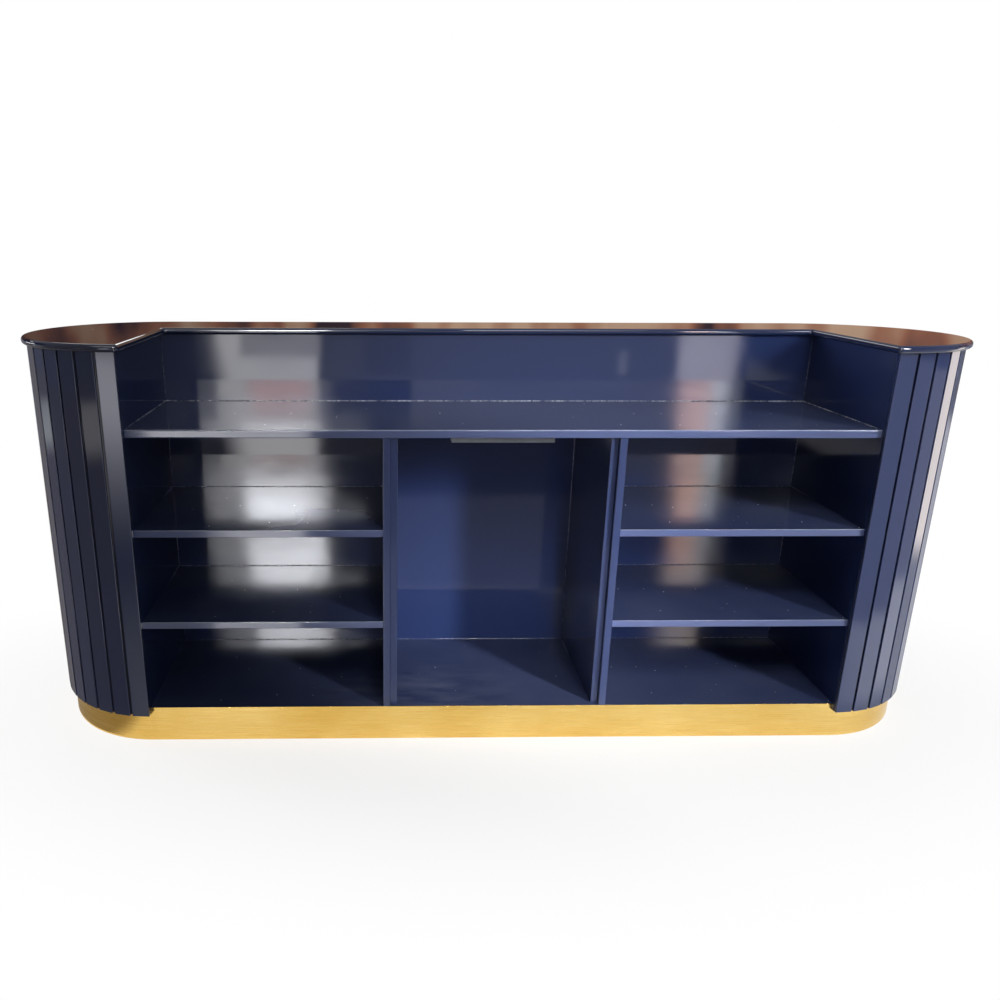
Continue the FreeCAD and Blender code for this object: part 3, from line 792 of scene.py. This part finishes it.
def bead_recipe(tip_width: float = 0.15) -> Recipe:
    """A recipe that runs a bead of sealant along paths.

    Args:
        tip_width: How wide the bead's ends are, as a share of its own width.

    Returns:
        The recipe. The bead swells and thins, as one drawn by hand does, and it tapers at both ends.
    """
    recipe = Recipe("run_bead", {
        "Radius": float, "Step": float, "Swell": float, "Swell Length": float, "Taper": float, "Sides": int,
        "Finish": Finish})
    add, given = recipe.add, recipe.given
    path = add("GeometryNodeMeshToCurve", {"Mesh": given["Geometry"]})
    even = add("GeometryNodeResampleCurve", {"Curve": path, "Length": given["Step"]}, mode="LENGTH")
    section = add("GeometryNodeCurvePrimitiveCircle", {
        "Resolution": given["Sides"], "Radius": given["Radius"]})
    scale = add(MATH, {0: 1.0, 1: given["Swell Length"]}, operation="DIVIDE")
    noise = add(NOISE, {"Scale": scale, "Detail": 3.0})
    centred = add(MATH, {0: noise, 1: MIDDLE}, operation="SUBTRACT")
    swollen = add(MATH, {0: centred, 1: given["Swell"], 2: 1.0}, operation="MULTIPLY_ADD")
    run = add("GeometryNodeSplineParameter").outputs["Length"]
    left = add(MATH, {0: add("GeometryNodeSplineLength"), 1: run}, operation="SUBTRACT")
    nearest = add(MATH, {0: run, 1: left}, operation="MINIMUM")
    tip = add(RANGE, {"Value": nearest, "From Max": given["Taper"], "To Min": tip_width})
    width = add(MATH, {0: swollen, 1: tip}, operation="MULTIPLY")
    recipe.end(add("GeometryNodeCurveToMesh", {
        "Curve": even, "Profile Curve": section, "Scale": width, "Fill Caps": True}))
    return recipe


@dataclass
class CounterTop:
    """The raised U-shaped top over both wings and the wall, with a rounded edge all round."""

    edge_round: float = 8.0 * MM
    inner_overhang: float = 10.0 * MM
    corner_round: float = 8.8 * MM
    end_steps: int = 96
    corner_steps: int = 8
    round_steps: int = 7

    def outline(self, inset: float) -> list[Place]:
        """The top's outline, drawn in by an inset.

        Args:
            inset: How far inside the true outline it lies.

        Returns:
            Points that run anticlockwise from above, as many for every inset.
        """
        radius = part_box("counter_top")[1].y
        end_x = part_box("wing_panel_right")[0].x
        inner_x = end_x - self.inner_overhang
        back_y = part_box("back_panel")[0].y - self.inner_overhang
        corner = self.corner_round
        near_y = corner - radius
        small, large = corner - inset, corner + inset
        steps = self.corner_steps
        points = arc((inner_x + corner, near_y), small, 180, 270, steps)
        points += arc((end_x, 0), radius - inset, -90, 90, self.end_steps)
        points += arc((-end_x, 0), radius - inset, 90, 270, self.end_steps)
        points += arc((-inner_x - corner, near_y), small, 270, 360, steps)
        points += arc((corner - inner_x, back_y - corner), large, 180, 90, steps)
        points += arc((inner_x - corner, back_y - corner), large, 90, 0, steps)
        return points

    def build(self) -> None:
        """Builds the top and dresses it."""
        low, high = (corner.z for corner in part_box("counter_top"))
        turns = [math.radians(90 * i / self.round_steps) for i in range(self.round_steps + 1)]
        rise = [(self.edge_round * (1 - math.sin(t)), self.edge_round * (1 - math.cos(t))) for t in turns]
        stations = [(inset, low + lift) for inset, lift in rise]
        stations += [(inset, high - lift) for inset, lift in reversed(rise)]
        loops = [[(x, y, z) for x, y in self.outline(inset)] for inset, z in stations]
        rough = link(bpy.data.objects.new("rough_top", stack_loops(loops, TOP_LACQUER, "rough_top")))
        harden(rough)
        add_piece("lacquered_top", settle(rough, "lacquered_top"), Slot.LACQUER, "counter_top")


@dataclass
class SlatCladding:
    """Flat slats with eased arrises, round both ends and along the customer side."""

    thickness: float = 9.0 * MM
    gap: float = 5.0 * MM
    arris: float = 1.5 * MM
    end_ease: float = 0.8 * MM
    per_end: int = 18
    along_front: int = 36
    arris_steps: int = 4
    back_steps: int = 4
    play: float = math.radians(0.09)
    end_seed: int = 11
    front_seed: int = 14

    def __post_init__(self) -> None:
        """Reads the cladding's place from the frame."""
        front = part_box("slats_front")
        self.foot, self.head = front[0].z, front[1].z
        self.face = front[1].y
        self.axis_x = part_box("wing_panel_right")[0].x

    def slat(self, half_width: float, seat: list[Place]) -> Mesh:
        """One upright slat that faces -Y, seen from the axis it is turned about.

        Args:
            half_width: Half its width.
            seat: The points of its back, from +X to -X.

        Returns:
            A closed mesh.
        """
        shoulder = half_width - self.arris
        depth = self.arris - self.face
        left = arc((-shoulder, depth), self.arris, 180, 270, self.arris_steps)
        right = arc((shoulder, depth), self.arris, 270, 360, self.arris_steps)
        section = left + right + seat
        middle = -self.face + self.thickness / 2
        narrow = 1 - self.end_ease / half_width
        shallow = 1 - 2 * self.end_ease / self.thickness
        eased = [(x * narrow, middle + (y - middle) * shallow) for x, y in section]
        levels = (
            (eased, self.foot), (section, self.foot + self.end_ease),
            (section, self.head - self.end_ease), (eased, self.head))
        return stack_loops([[(x, y, z) for x, y in loop] for loop, z in levels], SLAT_LACQUER, "one_slat")

    def build(self) -> None:
        """Builds the slats of both ends and of the customer side."""
        recipe = slat_recipe()
        skin = self.face - self.thickness
        step = math.pi / self.per_end
        half_turn = step / 2 - self.gap / skin / 2
        half_width = skin * math.sin(half_turn)
        turn = math.degrees(half_turn)
        for end in End:
            seat = arc((0, 0), skin, turn - 90, -turn - 90, self.back_steps)
            mesh = recipe.make(
                f"slats_round_{end.word}_end", self.slat(half_width, seat), flat=True, Count=self.per_end,
                Start=(end.value * self.axis_x, 0.0, 0.0), Pitch=(0.0, 0.0, 0.0),
                First_Turn=end.value * half_turn, Turn_Step=end.value * step, Play=self.play,
                Seed=self.end_seed + end.value, Finish=SLAT_LACQUER)
            add_piece(mesh.name, mesh, Slot.LACQUER, f"slats_{end.word}")
        pitch = (2 * self.axis_x + self.gap) / self.along_front
        half_width = (pitch - self.gap) / 2
        seat = [(half_width, -skin), (-half_width, -skin)]
        mesh = recipe.make(
            "slats_on_customer_side", self.slat(half_width, seat), flat=True, Count=self.along_front,
            Start=(half_width - self.axis_x, 0.0, 0.0), Pitch=(pitch, 0.0, 0.0), First_Turn=math.pi,
            Turn_Step=0.0, Play=self.play, Seed=self.front_seed, Finish=SLAT_LACQUER)
        add_piece(mesh.name, mesh, Slot.LACQUER, "slats_front")
        for skin_node in ("end_skin_left", "end_skin_right", "front_skin"):
            dress(skin_node, SLAT_LACQUER)


@dataclass
class PlinthBand:
    """The thin gold sheet round the plinth, in four lengths."""

    end_steps: int = 90
    step: float = 15.0 * MM
    wave: float = 0.5 * MM
    wave_length: float = 160.0 * MM

    def build(self) -> None:
        """Builds the four lengths of the band."""
        recipe = band_recipe()
        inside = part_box("plinth_rail_customer")[1].y
        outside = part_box("plinth_band_customer")[1].y
        end_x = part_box("plinth_band_right")[0].x
        middle = (inside + outside) / 2
        paths = {
            "staff": [(-end_x, -middle), (end_x, -middle)],
            "customer": [(end_x, middle), (-end_x, middle)],
            "left": arc((-end_x, 0), middle, 90, 270, self.end_steps),
            "right": arc((end_x, 0), middle, -90, 90, self.end_steps),
        }
        for word, path in paths.items():
            node = f"plinth_band_{word}"
            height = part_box(node)[1].z
            line = line_mesh(node, [[(x, y, height / 2) for x, y in path]])
            mesh = recipe.make(
                f"gold_band_{word}", line, flat=True, Height=height, Thickness=outside - inside,
                Step=self.step, Wave=self.wave, Wave_Length=self.wave_length, Finish=GOLD_SHEET)
            add_piece(mesh.name, mesh, Slot.GOLD, node)


@dataclass
class SealantBeads:
    """Thin beads of sealant along the joints of the worktop, the shelves, the floor and the corners."""

    radius: float = 1.3 * MM
    step: float = 6.0 * MM
    swell: float = 1.3
    swell_length: float = 70.0 * MM
    taper: float = 60.0 * MM
    sides: int = 8
    sunk: float = 0.6
    short_side: float = 120.0 * MM
    front_inset: float = 4.0 * MM

    @property
    def off(self) -> float:
        """How far a bead's line stands off the faces that it joins."""
        return self.radius * (1 - self.sunk)

    def corner_path(self, level: float, left: float, right: float, front: float, back: float) -> list[Point]:
        """The bead's line along one board: up its left joint, along the back and down its right joint.

        Args:
            level: The height of the board's top face.
            left: The X of the upright on its left.
            right: The X of the upright on its right.
            front: The Y of its front edge.
            back: The Y of the back panel.

        Returns:
            The line's points.
        """
        height = level + self.off
        west, east, rear = left + self.off, right - self.off, back - self.off
        return [(west, front, height), (west, rear, height), (east, rear, height), (east, front, height)]

    def upright_paths(
            self, left: float, right: float, back: float, levels: list[Place]) -> list[list[Point]]:
        """The bead's lines up the two back corners of one opening.

        Args:
            left: The X of the upright on its left.
            right: The X of the upright on its right.
            back: The Y of the back panel.
            levels: The lowest and highest Z of each storey.

        Returns:
            The points of each line.
        """
        rear = back - self.off
        sides = (left + self.off, right - self.off)
        return [[(x, rear, low), (x, rear, high)] for x in sides for low, high in levels]

    def build(self) -> None:
        """Builds the beads of the worktop, the shelves, the floor and the upright corners."""
        recipe = bead_recipe()
        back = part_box("back_panel")[0].y
        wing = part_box("wing_panel_right")[0].x
        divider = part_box("divider_right")[1].x
        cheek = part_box("knee_cheek_right")[0].x
        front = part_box("worktop")[0].y + self.front_inset
        bays = ((-wing, -divider), (divider, wing))
        knee = (-cheek, cheek)
        short = back - self.short_side
        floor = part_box("base_board")[1].z
        boards = ("shelf_left_lower", "shelf_left_upper", "worktop")
        lower, upper, top = ([corner.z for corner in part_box(node)] for node in boards)
        storeys = [(floor, lower[0]), (lower[1], upper[0]), (upper[1], top[0])]
        runs = {
            "worktop_sealant": (SEALANT, [self.corner_path(top[1], -wing, wing, front, back)]),
            "shelf_sealant": (LACQUERED_BEAD, [
                self.corner_path(level, *bay, short, back)
                for bay in bays for level in (lower[1], upper[1])]),
            "floor_sealant": (LACQUERED_BEAD, [
                self.corner_path(floor, *bay, short, back) for bay in (*bays, knee)]),
            "corner_sealant": (LACQUERED_BEAD, [
                *self.upright_paths(*bays[0], back, storeys), *self.upright_paths(*bays[1], back, storeys),
                *self.upright_paths(*knee, back, [(floor, top[0])]),
                *self.upright_paths(-wing, wing, back, [(top[1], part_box("counter_top")[0].z)])]),
        }
        for name, (finish, paths) in runs.items():
            mesh = recipe.make(
                name, line_mesh(name, paths), Radius=self.radius, Step=self.step, Swell=self.swell,
                Swell_Length=self.swell_length, Taper=self.taper, Sides=self.sides, Finish=finish)
            add_piece(name, mesh, None)


@dataclass
class Carcass:
    """The boards, whose solids are right as they are: they get their finishes."""

    panels: tuple[str, ...] = ("back_panel", "wing_panel_left", "wing_panel_right")
    uprights: tuple[str, ...] = ("divider_left", "divider_right", "knee_cheek_left", "knee_cheek_right")
    shelves: tuple[str, ...] = (
        "worktop", "shelf_left_lower", "shelf_left_upper", "shelf_right_lower", "shelf_right_upper")
    hidden: tuple[str, ...] = (
        "plinth_end_left", "plinth_end_right", "plinth_rail_staff", "plinth_rail_customer",
        "plinth_cross_rails", "end_formers_left", "end_formers_right", "wall_ribs", "wall_top_rail",
        "loose_tongues")

    def build(self) -> None:
        """Dresses every board."""
        for nodes, finish in (
                (self.panels, PANEL_LACQUER), (self.uprights, UPRIGHT_LACQUER),
                (self.shelves, SHELF_LACQUER), (self.hidden, BARE_FIBREBOARD),
                (("base_board",), FLOOR_LACQUER), (("worktop_batten",), PAINTED_BAR)):
            for node in nodes:
                dress(node, finish)


@dataclass(frozen=True)
class Lamp:
    """A soft white lamp that is aimed at a point."""

    name: str
    place: Point
    aim: Point
    size: Place
    watts: float
    spread: float = 180.0

    def build(self) -> None:
        """Adds the lamp, which the camera doesn't see."""
        data = bpy.data.lights.new(self.name, "AREA")
        data.shape = "RECTANGLE"
        data.size, data.size_y = self.size
        data.energy = self.watts
        data.spread = math.radians(self.spread)
        lamp = link(bpy.data.objects.new(self.name, data))
        lamp.location = self.place
        lamp.rotation_euler = (Vector(self.aim) - Vector(self.place)).to_track_quat("-Z", "Y").to_euler()
        lamp.visible_camera = False


def only_in_gloss(panel: Object, shades: bool = False) -> None:
    """Marks a panel as staging that lights nothing and shows in reflections alone.

    Args:
        panel: The panel.
        shades: Whether it keeps the lamps' light off instead, and shows nowhere.
    """
    panel.visible_camera = False
    panel.visible_diffuse = shades
    panel.visible_glossy = not shades
    panel.visible_transmission = False
    panel.visible_shadow = shades


def lying(level: float, *places: Place) -> tuple[Point, ...]:
    """The corners of a panel that lies this far above the floor, from their X and Y."""
    return tuple((x, y, level) for x, y in places)


def standing(y: float, heights: Place, feet: Place, heads: Place | None = None) -> tuple[Point, ...]:
    """The corners of an upright panel that runs along X.

    Args:
        y: Where it stands.
        heights: Its lowest and highest Z.
        feet: The X of its left and right corners below.
        heads: The same above, where they differ.

    Returns:
        The corners, from the lower left one round.
    """
    low, high = heights
    left, right = heads or feet
    return (feet[0], y, low), (feet[1], y, low), (right, y, high), (left, y, high)


@dataclass(frozen=True)
class Reflector:
    """A panel of the studio that only the gloss shows, or that only shades the lamps."""

    name: str
    colour: str
    strength: float
    corners: tuple[Point, ...]
    soft: Place = (0.12, 0.05)
    shades: bool = False

    def build(self) -> None:
        """Adds the panel with a UV map from its first corner to its third."""
        mesh = bpy.data.meshes.new(self.name)
        mesh.from_pydata(self.corners, [], [(0, 1, 2, 3)])
        spots = mesh.uv_layers.new(name="panel").data
        for spot, place in zip(spots, ((0, 0), (1, 0), (1, 1), (0, 1))):
            spot.uv = place
        mesh.materials.append(SoftGlow(self.name, self.colour, self.strength, self.soft).material())
        only_in_gloss(link(bpy.data.objects.new(self.name, mesh)), self.shades)


@dataclass
class Studio:
    """White paper floor, white backdrop, soft lamps, and what the gloss reflects."""

    floor_half: float = 12.0
    fill: float = 0.08
    room: float = 0.38
    wall_radius: float = 4.2
    wall_foot: float = 1.06
    wall_head: float = 2.3
    sill: float = 1.25
    wall_steps: int = 64
    lamps: tuple[Lamp, ...] = (
        Lamp("window_light", (4.2, -4.8, 3.0), (0.55, 0.0, 0.45), (0.75, 3.2), watts=15.0, spread=32.0),
        Lamp("high_front_light", (1.2, -3.6, 4.4), (0.9, 0.0, 0.3), (1.6, 1.2), watts=4.6, spread=36.0),
        Lamp("knee_light", (2.3, -2.6, 1.9), (-0.15, 0.1, 0.25), (0.3, 1.0), watts=1.3, spread=16.0),
        Lamp("front_light", (0.6, -6.0, 1.1), (0.1, 0.1, 0.24), (0.8, 0.5), watts=0.5, spread=8.0),
        Lamp("ceiling_light", (0.0, 0.0, 3.4), (0.0, 0.0, 0.0), (4.6, 3.2), watts=14.0),
        Lamp("left_end_light", (-4.2, 1.2, 1.5), (-1.1, 0.1, 0.5), (1.2, 1.2), watts=12.0, spread=60.0),
        Lamp("customer_side_light", (-1.8, 4.2, 2.3), (0.0, 0.0, 0.5), (2.6, 2.0), watts=60.0),
    )
    reflectors: tuple[Reflector, ...] = (
        Reflector("left_floor_glow", "F6F5F7", 7.0, lying(
            0.006, (-0.86, -0.6), (-0.53, -0.6), (-1.34, -11.0), (-3.18, -11.0))),
        Reflector("left_floor_far", "F4F2F6", 3.8, lying(
            0.0065, (-1.99, -6.9), (-0.96, -6.9), (-1.28, -11.2), (-2.7, -11.2)), (0.1, 0.22)),
        Reflector("left_smear", "F0F2FA", 18.0, standing(-2.98, (1.6, 1.9), (-0.82, -0.34)), (0.35, 0.2)),
        Reflector("left_edge_glow", "F6F6FA", 8.0, lying(
            0.007, (-1.75, -3.4), (-1.2, -3.4), (-1.5, -4.6), (-2.3, -4.6)), (0.15, 0.15)),
        Reflector("right_floor_far", "F2ECF8", 6.2, lying(
            0.006, (2.01, -4.2), (2.57, -4.2), (5.52, -11.0), (4.39, -11.0))),
        Reflector("grey_front", WHITE, 0.45, lying(
            0.005, (-0.3, -0.42), (0.42, -0.42), (0.75, -1.8), (-0.28, -1.8)), (0.03, 0.12)),
        Reflector("dark_front", WHITE, 0.13, lying(
            0.004, (-0.3, -0.8), (0.52, -0.8), (1.19, -3.6), (-0.26, -3.6)), (0.03, 0.06)),
        Reflector("left_window_low", "F8F6F6", 17.0, standing(
            -6.0, (1.6, 2.3), (-2.03, -0.94)), (0.06, 0.05)),
        Reflector("left_window_warm", "F6CCC8", 19.0, standing(
            -5.98, (1.62, 2.06), (-1.72, -1.0)), (0.15, 0.12)),
        Reflector("left_window_high", "F6F8FF", 110.0, standing(
            -6.0, (2.3, 3.6), (-1.84, -0.92), (-1.68, -0.78)), (0.08, 0.05)),
        Reflector("left_window_side", "F4F4F8", 22.0, standing(
            -6.02, (2.1, 3.6), (-2.3, -1.75), (-2.1, -1.65)), (0.3, 0.1)),
        Reflector("right_window_low", "FFD8CE", 25.0, standing(-6.0, (1.6, 2.3), (2.73, 3.2))),
        Reflector("right_window_high", "FFC8AC", 44.0, standing(-6.0, (2.26, 2.8), (2.82, 3.2))),
        Reflector("right_window_top", "EADCD4", 36.0, standing(-6.0, (2.74, 3.6), (2.78, 3.26))),
        Reflector("right_window_edge", "E6ECF6", 28.0, standing(
            -5.99, (1.6, 2.8), (3.08, 3.3), (3.06, 3.27))),
        Reflector("far_post", "E6E8F4", 2.2, standing(-5.45, (0.07, 0.33), (1.93, 2.05)), (0.3, 0.15)),
        Reflector("far_wall", "E6E8F4", 0.85, standing(-5.5, (0.0, 0.5), (-0.95, 2.6)), (0.05, 0.02)),
        Reflector("skylight", "F8FAFF", 4.0, (
            (-4.5, -3.2, 4.4), (0.2, -3.2, 4.4), (0.2, -5.0, 3.6), (-4.5, -5.0, 3.6))),
        Reflector("shade_card", "000000", 0.0, standing(
            -2.4, (0.5, 3.0), (1.2, 1.92)), (0.2, 0.05), shades=True),
        Reflector("flag", WHITE, 0.3, standing(-3.0, (1.1, 2.8), (-0.66, -0.2)), (0.12, 0.12)),
        Reflector("knee_flag", WHITE, 0.5, standing(-1.71, (0.62, 1.3), (-0.4, -0.14)), (0.1, 0.05)),
        Reflector("front_room", "F2F2F6", 2.6, standing(-6.2, (1.56, 2.4), (-4.0, 4.6)), (0.05, 0.05)),
        Reflector("right_floor", "F4F4FA", 0.95, lying(
            0.004, (1.2, 1.8), (1.2, -1.7), (9.5, -10.5), (9.5, 4.0)), (0.03, 0.03)),
        Reflector("dark_left", "FFF4E8", 0.3, lying(
            0.004, (-0.95, 1.6), (-0.95, -0.35), (-5.2, -7.6), (-9.5, 8.0)), (0.03, 0.02)),
        Reflector("left_corner_glow", "F6F6FF", 4.8, lying(
            0.008, (-1.75, -1.3), (-1.2, -1.3), (-4.9, -10.0), (-7.0, -10.0)), (0.2, 0.4)),
        Reflector("right_foot_glow", "F6F6FA", 2.4, lying(
            0.006, (0.86, -0.42), (1.2, -0.24), (2.6, -0.3), (1.35, -1.05)), (0.15, 0.22)),
        Reflector("left_far_glow", "FFF8F2", 1.6, lying(
            0.008, (-3.3, -1.9), (-3.0, -2.5), (-5.0, -4.2), (-5.6, -3.1)), (0.3, 0.3)),
        Reflector("left_side_glow", "F4F8F6", 1.3, lying(
            0.008, (-4.0, -0.3), (-4.0, 1.6), (-6.5, 2.2), (-6.5, -0.2)), (0.3, 0.3)),
        Reflector("right_strip", "FFF4EA", 3.8, lying(
            0.008, (2.4, 0.42), (2.4, -0.05), (13.0, 1.19), (13.0, 4.03)), (0.1, 0.05)),
    )

    def floor(self) -> None:
        """Lays the floor."""
        half = self.floor_half
        mesh = bpy.data.meshes.new("paper_floor")
        corners = lying(0.0, (-half, -half), (half, -half), (half, half), (-half, half))
        mesh.from_pydata(corners, [], [(0, 1, 2, 3)])
        mesh.materials.append(PaperFloor("white_paper").material())
        link(bpy.data.objects.new("paper_floor", mesh))

    def walls(self) -> None:
        """Stands the warm walls that the top reflects: full height on the customer side, else a sill."""
        ring = arc((0, 0), self.wall_radius, 0, 360, self.wall_steps)
        heads = [self.wall_head if y > 0 else self.sill for x, y in ring]
        points = [(x, y, self.wall_foot) for x, y in ring] + [(x, y, z) for (x, y), z in zip(ring, heads)]
        above = len(ring)
        faces = [(i, i + 1, above + i + 1, above + i) for i in range(self.wall_steps)]
        mesh = bpy.data.meshes.new("room_walls")
        mesh.from_pydata(points, [], faces)
        mesh.materials.append(RoomTones("room_walls").material())
        only_in_gloss(link(bpy.data.objects.new("room_walls", mesh)))

    def backdrop(self) -> None:
        """Makes the world: white where it is seen, a room's tone in the gloss, and a plain fill of light."""
        world = bpy.data.worlds.new("studio")
        world.use_nodes = True
        world.node_tree.nodes.clear()
        add = partial(add_node, world.node_tree)
        fill, room, white = (
            add("ShaderNodeBackground", {"Color": linear(WHITE), "Strength": strength})
            for strength in (self.fill, self.room, 1.0))
        glossy = add("ShaderNodeLightPath").outputs["Is Glossy Ray"]
        unseen = add("ShaderNodeMixShader", {0: glossy, 1: fill, 2: room})
        mixed = add("ShaderNodeMixShader", {0: white_rays(add), 1: unseen, 2: white})
        add("ShaderNodeOutputWorld", {"Surface": mixed})
        bpy.context.scene.world = world

    def build(self) -> None:
        """Builds the studio."""
        self.floor()
        self.walls()
        self.backdrop()
        for part in (*self.lamps, *self.reflectors):
            part.build()
        bpy.context.scene.view_settings.view_transform = "Standard"


@dataclass
class PhotoCamera:
    """The camera that took the photograph, found from the counter's own corners."""

    eye: Point = (-285.3 * MM, -2162.1 * MM, 1237.3 * MM)
    pitch: float = math.radians(17.084)
    yaw: float = math.radians(1.086)
    roll: float = math.radians(0.245)
    focal_pixels: float = 818.0
    centre_pixel_x: float = 400.0

    def build(self) -> None:
        """Adds the camera and makes it the scene's own."""
        level = math.cos(self.pitch)
        ahead = Vector((math.sin(self.yaw) * level, math.cos(self.yaw) * level, -math.sin(self.pitch)))
        right = Vector((math.cos(self.yaw), -math.sin(self.yaw), 0.0))
        turn = Matrix.Rotation(-self.roll, 3, ahead)
        right = turn @ right
        up = right.cross(ahead)
        data = bpy.data.cameras.new("photo_camera")
        data.lens = self.focal_pixels * data.sensor_width / PICTURE_SIDE
        data.shift_x = 0.5 - self.centre_pixel_x / PICTURE_SIDE
        camera = link(bpy.data.objects.new("photo_camera", data))
        axes = Matrix((right, up, -ahead)).transposed().to_4x4()
        camera.matrix_world = Matrix.Translation(self.eye) @ axes
        bpy.context.scene.camera = camera


def main() -> None:
    """Builds the counter's looks, the studio and the camera."""
    logging.basicConfig(level=logging.INFO, format="%(message)s")
    for part in (
            CounterTop(), SlatCladding(), PlinthBand(), SealantBeads(), Carcass(), Studio(), PhotoCamera()):
        part.build()


if __name__ == "__main__":
    main()
